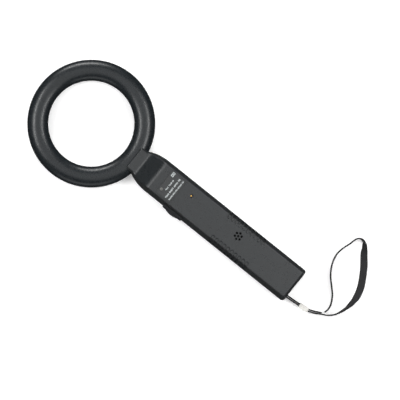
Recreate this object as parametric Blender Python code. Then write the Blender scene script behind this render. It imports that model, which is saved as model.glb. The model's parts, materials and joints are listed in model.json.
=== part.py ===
"""A hand-held ring-head detector wand, lying on its back with the ring towards -X and its face up."""

from math import atan, cos, pi, radians, sin, sqrt, tan

import bmesh
import bpy
from mathutils import Matrix, Vector

MM = 0.001
GAP = 0.3 * MM
WALL = 2.0 * MM

# Frame: the handle runs along +X, its back lies on z = 0 and the rocker switch is on the -Y side.
RING_X = -106.9 * MM
RING_RADIUS = 58.5 * MM
RING_HALF_WIDTH = 11.5 * MM
RING_HALF_DEPTH = 9.0 * MM
RING_STEPS = 48
RING_ARC_STEPS = 6
PARTING_Z = 11.5 * MM

HANDLE_END_X = 178.0 * MM
HANDLE_HALF_WIDTH = 21.05 * MM
HANDLE_HEIGHT = 40.0 * MM
END_CORNER = 3.3 * MM
FACE_EDGE = 1.2 * MM
PAD_EDGE = 2.2 * MM
BACK_EDGE = 1.6 * MM
INNER_EDGE = 0.4 * MM
DRAFT = 0.145
END_DRAFT_SHARE = 0.85

PAD_X = -49.6 * MM
PAD_HALF_WIDTH = 15.4 * MM
PAD_CORNER = 2.8 * MM
PAD_DRAFT_SHARE = 1.15
NECK_START_X = -38.4 * MM
NECK_END_X = -13.9 * MM
NECK_START_SLOPE = 0.547
FACE_X = -11.6 * MM
RAMP_ANGLE = radians(42)
RAMP_RUN = 14.2 * MM
CREST_RADIUS = 10.6 * MM
FOOT_RADIUS = 6.9 * MM
SIDE_STATIONS = (150 * MM, 118 * MM, 80 * MM, 40 * MM, 0.0)

NOTCH_COUNT = 10
NOTCH_FIRST_X = 74.3 * MM
NOTCH_PITCH = 5.15 * MM
NOTCH_WIDTH = 3.2 * MM
NOTCH_INNER_Y = 12.0 * MM
NOTCH_DEPTH = 0.8 * MM
NOTCH_FOOT_Z = 16.0 * MM

LABEL_X = (-5.2 * MM, 14.5 * MM)
LABEL_HALF_WIDTH = 15.0 * MM
LABEL_THICKNESS = 0.6 * MM
LED_AT = (-2.0 * MM, -8.5 * MM)
LENS_RADIUS = 1.6 * MM
TRIMMER_HOLE_AT = (28.5 * MM, 5.9 * MM)
TRIMMER_HOLE = 1.8 * MM
TRIMMER_AT = (27.9 * MM, 5.9 * MM)
ROTOR_RADIUS = 1.15 * MM
ROTOR_SUNK = 2.5 * MM

LENS_FLANGE = 1.0 * MM
LENS_PROUD = 0.1 * MM
LED_FOOT_RADIUS = 1.9 * MM
LED_FOOT_HEIGHT = 1.0 * MM
LED_RADIUS = 1.5 * MM
LED_TIP = ((1.5 * MM, 3.0 * MM), (1.1 * MM, 1.9 * MM), (0.4 * MM, 1.5 * MM))
TRIMMER_HALF = 3.3 * MM
TRIMMER_TALL = 4.6 * MM
ROTOR_SLOT_HALF = 0.25 * MM
ROTOR_SLOT_DEPTH = 0.7 * MM

SPEAKER_AT = (95.0 * MM, 3.6 * MM)
SPEAKER_RADIUS = 10.0 * MM
SPEAKER_DEPTH = 5.0 * MM
SPEAKER_FLARE = 3.0 * MM
SPEAKER_SHEET = 0.8 * MM
SPEAKER_RIM = 1.2 * MM
SPEAKER_BACK_HOLE = 2.0 * MM
CONE_EDGE = 1.5 * MM
CONE_UPPER = ((0.5 * MM, 1.8 * MM), (2.5 * MM, 2.3 * MM))
CONE_LOWER = ((2.5 * MM, 2.8 * MM), (0.5 * MM, 2.2 * MM))
MAGNET_RADIUS = 6.0 * MM
MAGNET_THICKNESS = 3.0 * MM
SPEAKER_HOLE = 1.0 * MM
SPEAKER_HOLE_CIRCLE = 3.7 * MM
SPEAKER_HOLES = 6

SWITCH_X = 23.1 * MM
SWITCH_Z = 20.0 * MM
FLANGE_HALF = (12.6 * MM, 6.5 * MM)
SLEEVE_HALF = (10.9 * MM, 5.1 * MM)
WELL_HALF = (9.6 * MM, 3.9 * MM)
FLANGE_HEIGHT = 2.0 * MM
SLEEVE_DEPTH = 4.0 * MM
SWITCH_DEPTH = 11.0 * MM
ROCKER_PIVOT = 1.0 * MM
TERMINAL_PITCH = 6.0 * MM
TERMINAL_HALF = (0.4 * MM, 2.2 * MM)
TERMINAL_REACH = 4.5 * MM
FLANGE_BEVEL = 0.6 * MM
ROCKER_CREST = ((0.7 * MM, 3.0 * MM), (2.7 * MM, 4.0 * MM), (6.15 * MM, 4.75 * MM))
ROCKER_PEAK = 5.0 * MM
ROCKER_BELLY = ((3.85 * MM, 1.0 * MM), (9.2 * MM, -0.5 * MM))
ROCKER_KEEL = 1.4 * MM

BOARD_X = (-8.0 * MM, 70.0 * MM)
BOARD_HALF_WIDTH = 14.0 * MM
BOARD_Z = 27.0 * MM
BOARD_THICKNESS = 1.6 * MM
BOARD_SCREWS_X = (5.0 * MM, 62.0 * MM)
BOARD_SCREW_HOLE = 1.7 * MM
BOARD_SCREW_HEAD = ((2.4 * MM, 1.7 * MM), (2.6 * MM, 0.6 * MM), (2.6 * MM, 0.0))
BOARD_SCREW_LENGTH = 7.5 * MM
BOARD_PILOT_TOP = 35.0 * MM
SCREW_TIP = 0.3 * MM
CHIP_HEIGHT = 3.4 * MM
CAPACITOR_RADIUS = 2.7 * MM
CAPACITOR_HEIGHT = 7.0 * MM
CAPACITOR_BEVEL = (0.3 * MM, 0.6 * MM)
CAPACITORS_AT = ((14.0 * MM, 7.5 * MM), (39.0 * MM, 8.0 * MM))
CASE_SCREWS = ((-24.0 * MM, 11.5 * MM), (107.0 * MM, 13.3 * MM))
BOSS_RADIUS = 3.3 * MM
POST_RADIUS = 4.3 * MM
PILOT_RADIUS = 1.6 * MM
SHANK_RADIUS = 1.3 * MM
HEAD_RADIUS = 2.7 * MM
SEAT_Z = 4.0 * MM
CASE_SCREW_HEAD = 2.2 * MM
CASE_SCREW_BEVEL = (0.4 * MM, 0.6 * MM)
CASE_SCREW_TOP = 21.5 * MM
CASE_PILOT_TOP = 24.0 * MM

BATTERY_X = (120.0 * MM, 166.0 * MM)
BATTERY_HALF_WIDTH = 13.25 * MM
BATTERY_Z = (2.6 * MM, 20.1 * MM)
TERMINAL_LENGTH = 2.5 * MM
SNAP_THICKNESS = 3.7 * MM
SNAP_HALF = (12.5 * MM, 6.0 * MM)
STUD_Y = 6.35 * MM
STUD_RADII = (3.9 * MM, 2.9 * MM)
STUD_ROOT = 1.0 * MM
RIB_HALF = 0.8 * MM
RIB_TOP = 9.0 * MM
DOOR_X = (113.0 * MM, 170.5 * MM)
DOOR_HALF_WIDTH = 13.7 * MM
DOOR_HINGE = (112.5 * MM, 1.0 * MM)
DOOR_Z = (0.3 * MM, 2.0 * MM)
TONGUE_Y = (5.5 * MM, 10.5 * MM)
TONGUE_X = (110.8 * MM, 113.4 * MM, 115.6 * MM)
TONGUE_Z = (1.5 * MM, 2.3 * MM, 3.5 * MM)
LATCH_X = (167.3 * MM, 168.8 * MM)
LATCH_HALF_WIDTH = 5.0 * MM
LATCH_TOP = 8.0 * MM

STRAP_WIDTH = 8.0 * MM
STRAP_THICKNESS = 1.5 * MM
STRAP_Y = -13.6 * MM
STRAP_STEP = 4.2 * MM
TAG_HALF_HEIGHT = 4.6 * MM
TAG_THICKNESS = 0.5 * MM
TAG_SLACK = 0.75 * MM
ANCHOR_X = 172.6 * MM
ANCHOR_RADIUS = 1.3 * MM
SLOT_FLOOR = 2.5 * MM

COIL_SECTION = (1.5 * MM, 6.5 * MM, 3.5 * MM)
LEAD_HOLE = 2.2 * MM
LEAD_RADIUS = 0.6 * MM

# Each lead's route, in millimetres.
COIL_LEAD = ((-40.9, 0, 11.5), (-36.0, 0, 11.5), (-28.0, 0, 14.0), (-18.0, 0, 22.0), (-9.8, 0, 27.6))
SPEAKER_LEAD = ((84.2, 3.6, 35.5), (80.0, 4.0, 34.5), (74.5, 4.5, 30.0), (70.9, 5.0, 27.9))
SWITCH_LEAD = ((23.1, -2.9, 18.6), (23.4, -1.0, 20.5), (24.0, -0.5, 23.5), (24.5, -0.8, 26.2))
BATTERY_LEAD_Y = 3.0
BATTERY_LEAD = ((112.7, 13.0), (100.0, 14.5), (84.0, 21.0), (74.0, 26.6), (71.1, 27.8))

# The webbing's route in millimetres, with its lean in degrees: 0 stands on edge and 90 lies flat.
STRAP_ROUTE = (
    (174.3, -14.5, 6.8, 0), (179.0, -14.4, 6.6, 0), (187.0, -13.9, 5.4, 0), (194.6, -13.3, 4.7, 0),
    (200.5, -12.7, 4.7, 0), (206.3, -11.9, 4.7, 0), (213.5, -9.0, 4.3, 0), (220.4, -5.0, 4.1, 0),
    (226.6, -1.6, 4.1, 0), (232.4, 4.4, 4.15, 0), (236.9, 15.0, 4.25, 12), (238.8, 26.0, 3.85, 38),
    (238.4, 35.5, 2.65, 66), (235.7, 44.7, 1.75, 80), (231.0, 54.0, 1.5, 84), (223.9, 65.2, 1.65, 82),
    (216.2, 75.0, 2.65, 66), (211.2, 82.2, 4.0, 34), (206.6, 86.4, 4.25, 8), (201.4, 86.3, 4.1, 0),
    (198.4, 82.2, 4.1, 0), (196.6, 75.0, 4.1, 0), (193.6, 66.0, 4.1, 0), (192.4, 56.0, 4.1, 0),
    (195.2, 45.0, 4.1, 0), (201.4, 34.5, 4.1, 0), (209.6, 26.0, 4.1, 0), (216.6, 18.6, 4.1, 0),
    (221.6, 9.6, 4.1, 0), (222.6, 3.0, 4.1, 0), (221.6, -1.2, 4.1, 0),
)
TAIL_ROUTE = (
    (174.3, -12.6, 6.8, 0), (179.0, -12.5, 6.6, 0), (187.0, -12.0, 5.4, 0), (194.4, -11.4, 4.7, 0),
    (200.2, -10.8, 4.7, 0), (205.6, -10.1, 4.7, 0), (212.6, -7.2, 4.3, 0), (219.2, -3.6, 4.1, 0),
)
TAG_ROUTE = ((194.8, -12.33, 4.7, 0), (200.3, -11.75, 4.7, 0), (206.0, -11.0, 4.7, 0))


def clear_scene():
    for obj in list(bpy.data.objects):
        bpy.data.objects.remove(obj, do_unlink=True)


def finish(name, colour, roughness, metallic=0.0):
    material = bpy.data.materials.new(name)
    material.use_nodes = True
    shader = material.node_tree.nodes["Principled BSDF"]
    shader.inputs["Base Color"].default_value = (*colour, 1.0)
    shader.inputs["Roughness"].default_value = roughness
    shader.inputs["Metallic"].default_value = metallic
    return material


def add_object(name, bm, material, pivot=(0.0, 0.0, 0.0), tilt=0.0):
    """Makes a piece from a mesh drawn about its pivot, which becomes the object's origin."""
    bmesh.ops.recalc_face_normals(bm, faces=bm.faces)
    mesh = bpy.data.meshes.new(name)
    bm.to_mesh(mesh)
    bm.free()
    if material:
        mesh.materials.append(material)
    mesh.shade_smooth()
    mesh.set_sharp_from_angle(angle=radians(35))
    obj = bpy.data.objects.new(name, mesh)
    obj.location = pivot
    obj.rotation_euler = (tilt, 0.0, 0.0)
    bpy.context.collection.objects.link(obj)
    return obj


def combine(obj, name, bm, operation):
    """Cuts the mesh from the object, or joins it on, with a hidden helper and an exact Boolean."""
    helper = add_object(name, bm, None)
    helper.hide_render = True
    helper.display_type = "WIRE"
    modifier = obj.modifiers.new(name, "BOOLEAN")
    modifier.operation = operation
    modifier.solver = "EXACT"
    modifier.object = helper


def add_loops(bm, loops, closed=False):
    """Skins a row of point loops; closed joins the last loop to the first, otherwise both ends are capped."""
    rows = [[bm.verts.new(point) for point in loop] for loop in loops]
    pairs = list(zip(rows, rows[1:]))
    if closed:
        pairs.append((rows[-1], rows[0]))
    count = len(rows[0])
    for low, high in pairs:
        for i in range(count):
            j = (i + 1) % count
            bm.faces.new((low[i], low[j], high[j], high[i]))
    if not closed:
        bm.faces.new(reversed(rows[0]))
        bm.faces.new(rows[-1])
    return rows


def add_box(bm, low, high):
    corners = [(low[0], low[1]), (high[0], low[1]), (high[0], high[1]), (low[0], high[1])]
    add_loops(bm, [[(x, y, z) for x, y in corners] for z in (low[2], high[2])])


def add_rod(bm, centre, radius, low, high, steps=16):
    """A round rod along Z."""
    add_turned(bm, centre, ((radius, low), (radius, high)), steps)


def add_turned(bm, centre, profile, steps=16, closed=False):
    """Turns (radius, z) points about the vertical line through centre. A closed profile makes a ring."""
    loops = []
    for radius, z in profile:
        angles = [2 * pi * step / steps for step in range(steps)]
        loops.append([(centre[0] + radius * cos(a), centre[1] + radius * sin(a), z) for a in angles])
    return add_loops(bm, loops, closed)


def box_mesh(low, high):
    bm = bmesh.new()
    add_box(bm, low, high)
    return bm


def turned_mesh(centre, profile, steps=16, closed=False):
    bm = bmesh.new()
    add_turned(bm, centre, profile, steps, closed)
    return bm


def arc_points(centre, radii, start, end, steps):
    angles = [start + (end - start) * step / steps for step in range(steps + 1)]
    return [(centre[0] + radii[0] * cos(a), centre[1] + radii[1] * sin(a)) for a in angles]


def smooth_route(points, step):
    """Samples a Catmull-Rom curve through the points, about one sample per step of length."""
    ends = [points[0]] + list(points) + [points[-1]]
    samples = []
    for a, b, c, d in zip(ends, ends[1:], ends[2:], ends[3:]):
        a, b, c, d = (Vector(point) for point in (a, b, c, d))
        count = max(1, round((c - b).length / step))
        for i in range(count):
            t = i / count
            bend = (2 * a - 5 * b + 4 * c - d) + t * (3 * b - a - 3 * c + d)
            samples.append(b + 0.5 * t * ((c - a) + t * bend))
    samples.append(Vector(points[-1]))
    return samples


def add_wire(name, points, radius, material, sides=8):
    """A round wire held inside the case, as a filled curve."""
    curve = bpy.data.curves.new(name, "CURVE")
    curve.dimensions = "3D"
    curve.bevel_depth = radius
    curve.bevel_resolution = sides // 4
    curve.use_fill_caps = True
    curve.materials.append(material)
    route = smooth_route([Vector(point) * MM for point in points], 5 * radius)
    spline = curve.splines.new("POLY")
    spline.points.add(len(route) - 1)
    for point, place in zip(spline.points, route):
        point.co = (*place, 1.0)
    obj = bpy.data.objects.new(name, curve)
    bpy.context.collection.objects.link(obj)
    return obj


def ribbon_loops(route, half_width, half_thickness):
    """Four-cornered sections along a leaning ribbon: each has a corner at each end of both faces."""
    scaled = [(x * MM, y * MM, z * MM) for x, y, z, lean in route]
    leans = []
    for i in range(len(route) - 1):
        count = max(1, round((Vector(scaled[i + 1]) - Vector(scaled[i])).length / STRAP_STEP))
        leans += [route[i][3] + (route[i + 1][3] - route[i][3]) * k / count for k in range(count)]
    leans.append(route[-1][3])
    places = smooth_route(scaled, STRAP_STEP)
    loops = []
    for i, place in enumerate(places):
        ahead = places[min(i + 1, len(places) - 1)] - places[max(i - 1, 0)]
        side = Vector((ahead.y, -ahead.x, 0.0)).normalized()
        lean = radians(leans[i])
        across = cos(lean) * Vector((0.0, 0.0, 1.0)) + sin(lean) * side
        normal = across.cross(ahead).normalized()
        w = across * half_width
        n = normal * half_thickness
        loops.append([place + w + n, place + w - n, place - w - n, place - w + n])
    return loops


# The case: plan outline, front height and the two shells.


def half_width(x):
    """Half-width of the case at its parting line: clamp pad, flared neck, then the straight handle."""
    if x <= NECK_START_X:
        return PAD_HALF_WIDTH
    if x >= NECK_END_X:
        return HANDLE_HALF_WIDTH
    run = NECK_END_X - NECK_START_X
    t = (x - NECK_START_X) / run
    start = (2 * t**3 - 3 * t**2 + 1) * PAD_HALF_WIDTH
    lead = (t**3 - 2 * t**2 + t) * run * NECK_START_SLOPE
    return start + lead + (3 * t**2 - 2 * t**3) * HANDLE_HALF_WIDTH


def crest_start():
    return FACE_X - CREST_RADIUS * sin(RAMP_ANGLE)


def foot_end():
    return crest_start() - RAMP_RUN


def foot_start():
    return foot_end() - FOOT_RADIUS * sin(RAMP_ANGLE)


def front_height(x):
    """Height of the front face: level handle, rounded crest, ramp, hollow foot, then the level pad."""
    if x >= FACE_X:
        return HANDLE_HEIGHT
    if x >= crest_start():
        return HANDLE_HEIGHT - CREST_RADIUS + sqrt(CREST_RADIUS**2 - (FACE_X - x) ** 2)
    crest_z = HANDLE_HEIGHT - CREST_RADIUS * (1 - cos(RAMP_ANGLE))
    if x >= foot_end():
        return crest_z - (crest_start() - x) * tan(RAMP_ANGLE)
    pad_z = crest_z - RAMP_RUN * tan(RAMP_ANGLE) - FOOT_RADIUS * (1 - cos(RAMP_ANGLE))
    if x >= foot_start():
        return pad_z + FOOT_RADIUS - sqrt(FOOT_RADIUS**2 - (x - foot_start()) ** 2)
    return pad_z


def face_edge(x):
    """Radius of the front's edge, which grows along the ramp from the handle's to the pad's."""
    t = min(1.0, max(0.0, (FACE_X - x) / (FACE_X - foot_end())))
    return FACE_EDGE + (PAD_EDGE - FACE_EDGE) * t


def stations():
    """X places of the section lines along a long side, from the handle's end to the pad."""
    crest = [FACE_X - CREST_RADIUS * sin(RAMP_ANGLE * k / 4) for k in range(5)]
    ramp = [crest_start() - RAMP_RUN * k / 3 for k in (1, 2)]
    foot = [foot_start() + FOOT_RADIUS * sin(RAMP_ANGLE * k / 3) for k in (3, 2, 1, 0)]
    return [*SIDE_STATIONS, *crest, *ramp, *foot, (foot_start() + PAD_X) / 2]


def outline(inset, height):
    """A closed loop round the case. inset(x) is how far it lies inside the parting outline."""
    end_inset = inset(HANDLE_END_X)
    end_x = HANDLE_END_X - END_DRAFT_SHARE * end_inset
    end_corner = max(END_CORNER - end_inset, 0.8 * MM)
    end_y = HANDLE_HALF_WIDTH - end_inset
    side = arc_points((end_x - end_corner, end_y - end_corner), (end_corner, end_corner), 0.0, pi / 2, 4)
    side += [(x, half_width(x) - inset(x)) for x in stations()]
    pad_inset = inset(PAD_X)
    pad_x = PAD_X + PAD_DRAFT_SHARE * pad_inset
    pad_corner = max(PAD_CORNER - pad_inset, 0.6 * MM)
    pad_y = PAD_HALF_WIDTH - pad_inset
    side += arc_points((pad_x + pad_corner, pad_y - pad_corner), (pad_corner, pad_corner), pi / 2, pi, 3)
    loop = side + [(x, -y) for x, y in reversed(side)]
    return [(x, y, height(x)) for x, y in loop]


def cap_across(bm, row):
    """Closes a loop with faces that run straight across from one long side to the other."""
    last = len(row) - 1
    for i in range(len(row) // 2 - 1):
        bm.faces.new((row[i], row[i + 1], row[last - i - 1], row[last - i]))


def add_skin(bm, loops):
    rows = [[bm.verts.new(point) for point in loop] for loop in loops]
    count = len(rows[0])
    for low, high in zip(rows, rows[1:]):
        for i in range(count):
            j = (i + 1) % count
            bm.faces.new((low[i], low[j], high[j], high[i]))
    cap_across(bm, rows[-1])
    return rows[0]


def shell_mesh(outer, inner):
    """A tray of two skins joined by a rim along their first loops."""
    bm = bmesh.new()
    outer_rim = add_skin(bm, outer)
    inner_rim = add_skin(bm, inner)
    count = len(outer_rim)
    for i in range(count):
        j = (i + 1) % count
        bm.faces.new((outer_rim[i], outer_rim[j], inner_rim[j], inner_rim[i]))
    return bm


def front_loops(inside):
    """The front skin from the parting line up; inside is 0 for the outer skin and WALL for the inner."""

    def edge(x):
        return face_edge(x) if inside == 0 else INNER_EDGE

    def drafted(x):
        return inside + DRAFT * (front_height(x) - inside - edge(x) - PARTING_Z)

    loops = [outline(lambda x: inside, lambda x: PARTING_Z + GAP / 2)]
    for turn in (0, 30, 60, 90):
        inward = 1 - cos(radians(turn))
        down = 1 - sin(radians(turn))
        loops.append(outline(
            lambda x: drafted(x) + inward * edge(x),
            lambda x: front_height(x) - inside - down * edge(x),
        ))
    return loops


def rear_loops(inside):
    edge = BACK_EDGE if inside == 0 else INNER_EDGE
    drafted = inside + DRAFT * (PARTING_Z - inside - edge) / 2
    loops = [outline(lambda x: inside, lambda x: PARTING_Z - GAP / 2)]
    for turn in (0, 30, 60, 90):
        inward = edge * (1 - cos(radians(turn)))
        up = edge * (1 - sin(radians(turn)))
        loops.append(outline(lambda x: drafted + inward, lambda x: inside + up))
    return loops


def ring_cutter():
    """The ring's tube grown by the fitting gap, which hollows the neck's clamp."""
    radii = (RING_HALF_WIDTH + GAP, RING_HALF_DEPTH + GAP)
    profile = arc_points((RING_RADIUS, PARTING_Z), radii, 0.0, 2 * pi * 15 / 16, 15)
    return turned_mesh((RING_X, 0.0), profile, RING_STEPS, closed=True)


def screw_places():
    return [(x, side * y) for x, y in CASE_SCREWS for side in (1, -1)]


def front_bosses():
    bm = bmesh.new()
    tops = {CASE_SCREWS[0][0]: 29.0 * MM, CASE_SCREWS[1][0]: 38.5 * MM}
    for x, y in screw_places():
        add_rod(bm, (x, y), BOSS_RADIUS, PARTING_Z + GAP / 2, tops[x])
    for x in BOARD_SCREWS_X:
        add_rod(bm, (x, 0.0), BOSS_RADIUS, BOARD_Z + BOARD_THICKNESS + GAP, 38.5 * MM)
    return bm


def face_cutter():
    """The label's recess, the trimmer and speaker holes and every screw's pilot hole."""
    bm = bmesh.new()
    above = HANDLE_HEIGHT + 5 * MM
    floor = HANDLE_HEIGHT - LABEL_THICKNESS
    add_box(bm, (LABEL_X[0], -LABEL_HALF_WIDTH, floor), (LABEL_X[1], LABEL_HALF_WIDTH, above))
    low = HANDLE_HEIGHT - 2 * WALL
    add_rod(bm, TRIMMER_HOLE_AT, TRIMMER_HOLE, low, above)
    for x, y in speaker_hole_places():
        add_rod(bm, (x, y), SPEAKER_HOLE, low, above, 8)
    for x, y in screw_places():
        add_rod(bm, (x, y), PILOT_RADIUS, PARTING_Z - WALL, CASE_PILOT_TOP, 10)
    for x in BOARD_SCREWS_X:
        add_rod(bm, (x, 0.0), PILOT_RADIUS, BOARD_Z, BOARD_PILOT_TOP, 10)
    return bm


def speaker_hole_places():
    """One hole in the middle and a circle of holes, two of them straight across the handle."""
    places = [SPEAKER_AT]
    for k in range(SPEAKER_HOLES):
        angle = pi / 2 + 2 * pi * k / SPEAKER_HOLES
        x = SPEAKER_AT[0] + SPEAKER_HOLE_CIRCLE * cos(angle)
        places.append((x, SPEAKER_AT[1] + SPEAKER_HOLE_CIRCLE * sin(angle)))
    return places


def notch_places():
    return [NOTCH_FIRST_X + NOTCH_PITCH * k for k in range(NOTCH_COUNT)]


def face_notch_cutter():
    """The grip notches' upper part: slots with round inner ends sunk into the face, and the lens hole."""
    bm = bmesh.new()
    radius = NOTCH_WIDTH / 2
    for x in notch_places():
        for side in (1, -1):
            arc = arc_points((x, NOTCH_INNER_Y + radius), (radius, radius), pi, 2 * pi, 5)
            slot = [(px, side * py) for px, py in arc]
            slot += [(x + radius, side * 30 * MM), (x - radius, side * 30 * MM)]
            floor = HANDLE_HEIGHT - NOTCH_DEPTH
            add_loops(bm, [[(px, py, z) for px, py in slot] for z in (floor, HANDLE_HEIGHT + WALL)])
    add_rod(bm, LED_AT, LENS_RADIUS + GAP, HANDLE_HEIGHT - 2 * WALL, HANDLE_HEIGHT + WALL)
    return bm


def side_notch_cutter():
    """The grip notches' side part: grooves that run down the drafted side and fade out near its foot."""
    bm = bmesh.new()
    radius = NOTCH_WIDTH / 2
    top = HANDLE_HEIGHT - NOTCH_DEPTH - 0.01 * MM
    top_y = HANDLE_HALF_WIDTH - DRAFT * (top - PARTING_Z)
    foot_y = HANDLE_HALF_WIDTH - DRAFT * (NOTCH_FOOT_Z - PARTING_Z)
    section = (
        (top_y - NOTCH_DEPTH, top),
        (30 * MM, top),
        (30 * MM, NOTCH_FOOT_Z),
        (foot_y + 0.2 * MM, NOTCH_FOOT_Z),
        (foot_y - NOTCH_DEPTH, NOTCH_FOOT_Z + 2 * MM),
    )
    for x in notch_places():
        for side in (1, -1):
            add_loops(bm, [[(px, side * y, z) for y, z in section] for px in (x - radius, x + radius)])
    return bm


def switch_tilt():
    """The switch stands square on the side, which leans back by its draft."""
    return -atan(DRAFT)


def switch_place(x, inward, up):
    """A point in the row's frame, from the switch's own x, depth behind the side and height along it."""
    side_y = -(HANDLE_HALF_WIDTH - DRAFT * (SWITCH_Z - PARTING_Z))
    turned = Matrix.Rotation(switch_tilt(), 3, "X") @ Vector((x, inward, up))
    return Vector((SWITCH_X, side_y, SWITCH_Z)) + turned


def switch_cutter():
    bm = bmesh.new()
    half_x = SLEEVE_HALF[0] + GAP
    half_z = SLEEVE_HALF[1] + GAP
    corners = [(-half_x, -half_z), (half_x, -half_z), (half_x, half_z), (-half_x, half_z)]
    add_loops(bm, [[switch_place(x, inward, z) for x, z in corners] for inward in (4 * MM, -4 * MM)])
    return bm


def add_front_shell(plastic):
    shell = add_object("front_shell", shell_mesh(front_loops(0.0), front_loops(WALL)), plastic)
    combine(shell, "front_bosses", front_bosses(), "UNION")
    combine(shell, "ring_clearance_front", ring_cutter(), "DIFFERENCE")
    combine(shell, "face_openings", face_cutter(), "DIFFERENCE")
    combine(shell, "face_notches", face_notch_cutter(), "DIFFERENCE")
    combine(shell, "side_notches", side_notch_cutter(), "DIFFERENCE")
    combine(shell, "switch_opening", switch_cutter(), "DIFFERENCE")


def rear_posts():
    bm = bmesh.new()
    for x, y in screw_places():
        add_rod(bm, (x, y), POST_RADIUS, WALL / 2, PARTING_Z - GAP / 2)
    return bm


def battery_rib():
    """The wall between the electronics and the battery."""
    x, y = CASE_SCREWS[1]
    return box_mesh((x - RIB_HALF, -y, WALL / 2), (x + RIB_HALF, y, RIB_TOP))


def rear_cutter():
    """The battery door's opening, the strap's slot and the screws' stepped holes."""
    bm = bmesh.new()
    below = -WALL
    door_low = (DOOR_X[0] - 2 * GAP, -DOOR_HALF_WIDTH - GAP, below)
    add_box(bm, door_low, (DOOR_X[1] + GAP, DOOR_HALF_WIDTH + GAP, 2 * WALL))
    slot_low = (HANDLE_END_X - 2 * WALL, STRAP_Y - WALL, SLOT_FLOOR)
    add_box(bm, slot_low, (HANDLE_END_X + WALL, STRAP_Y + WALL, PARTING_Z + WALL))
    seat = HEAD_RADIUS + 2 * GAP
    hole = SHANK_RADIUS + GAP
    profile = ((seat, below), (seat, SEAT_Z), (hole, SEAT_Z), (hole, PARTING_Z + WALL))
    for place in screw_places():
        add_turned(bm, place, profile, 12)
    return bm


def add_rear_shell(plastic):
    shell = add_object("rear_shell", shell_mesh(rear_loops(0.0), rear_loops(WALL)), plastic)
    combine(shell, "rear_posts", rear_posts(), "UNION")
    combine(shell, "battery_rib", battery_rib(), "UNION")
    combine(shell, "ring_clearance_rear", ring_cutter(), "DIFFERENCE")
    combine(shell, "rear_openings", rear_cutter(), "DIFFERENCE")


# The ring head: two half-tube shells over two flat windings.


def half_tube_profile(side):
    """A C section, from its outer arc round to its inner one; side is 1 for the front and -1 for the rear."""
    lift = side * GAP / 2
    outer = arc_points((RING_RADIUS, PARTING_Z), (RING_HALF_WIDTH, RING_HALF_DEPTH), 0.0, pi, RING_ARC_STEPS)
    inner_radii = (RING_HALF_WIDTH - WALL, RING_HALF_DEPTH - WALL)
    inner = arc_points((RING_RADIUS, PARTING_Z), inner_radii, pi, 0.0, RING_ARC_STEPS - 1)
    return [(r, PARTING_Z + lift + side * (z - PARTING_Z)) for r, z in outer + inner]


def lead_hole():
    """A cross hole through the ring's outer wall, where the windings' lead passes into the neck."""
    bm = bmesh.new()
    outside = RING_X + RING_RADIUS + RING_HALF_WIDTH
    section = arc_points((0.0, PARTING_Z), (LEAD_HOLE, LEAD_HOLE), 0.0, 2 * pi * 9 / 10, 9)
    add_loops(bm, [[(x, y, z) for y, z in section] for x in (outside - 2 * WALL, outside + WALL)])
    return bm


def add_ring(plastic, copper):
    for name, side in (("ring_front_shell", 1), ("ring_rear_shell", -1)):
        bm = turned_mesh((RING_X, 0.0), half_tube_profile(side), RING_STEPS, closed=True)
        combine(add_object(name, bm, plastic), name + "_lead_hole", lead_hole(), "DIFFERENCE")
    near, far, half_height = COIL_SECTION
    for name, inner, outer in (
        ("receive_coil", RING_RADIUS - far, RING_RADIUS - near),
        ("transmit_coil", RING_RADIUS + near, RING_RADIUS + far),
    ):
        low = PARTING_Z - half_height
        high = PARTING_Z + half_height
        profile = ((outer, low), (outer, high), (inner, high), (inner, low))
        add_object(name, turned_mesh((RING_X, 0.0), profile, RING_STEPS, closed=True), copper)


# What shows on the face.


def add_label(plastic):
    inset = GAP
    low = (LABEL_X[0] + inset, -LABEL_HALF_WIDTH + inset, HANDLE_HEIGHT - LABEL_THICKNESS + GAP)
    high = (LABEL_X[1] - inset, LABEL_HALF_WIDTH - inset, HANDLE_HEIGHT + 0.05 * MM)
    label = add_object("label_plate", box_mesh(low, high), plastic)
    hole = turned_mesh(LED_AT, ((LENS_RADIUS + GAP, low[2] - WALL), (LENS_RADIUS + GAP, high[2] + WALL)))
    combine(label, "label_lens_hole", hole, "DIFFERENCE")


def add_indicator(lens_finish, led_finish):
    """The light pipe has a flange under the face; the LED below it stands on the board."""
    roof = HANDLE_HEIGHT - WALL
    flange = LENS_RADIUS + LENS_FLANGE
    pipe = (
        (flange, roof - GAP - LENS_FLANGE),
        (flange, roof - GAP),
        (LENS_RADIUS, roof - GAP),
        (LENS_RADIUS, HANDLE_HEIGHT + LENS_PROUD),
    )
    add_object("indicator_lens", turned_mesh(LED_AT, pipe), lens_finish)
    foot = BOARD_Z + BOARD_THICKNESS + GAP
    led = [
        (LED_FOOT_RADIUS, foot),
        (LED_FOOT_RADIUS, foot + LED_FOOT_HEIGHT),
        (LED_RADIUS, foot + LED_FOOT_HEIGHT),
    ]
    led += [(radius, roof - drop) for radius, drop in LED_TIP]
    add_object("indicator_led", turned_mesh(LED_AT, led, 12), led_finish)


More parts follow.
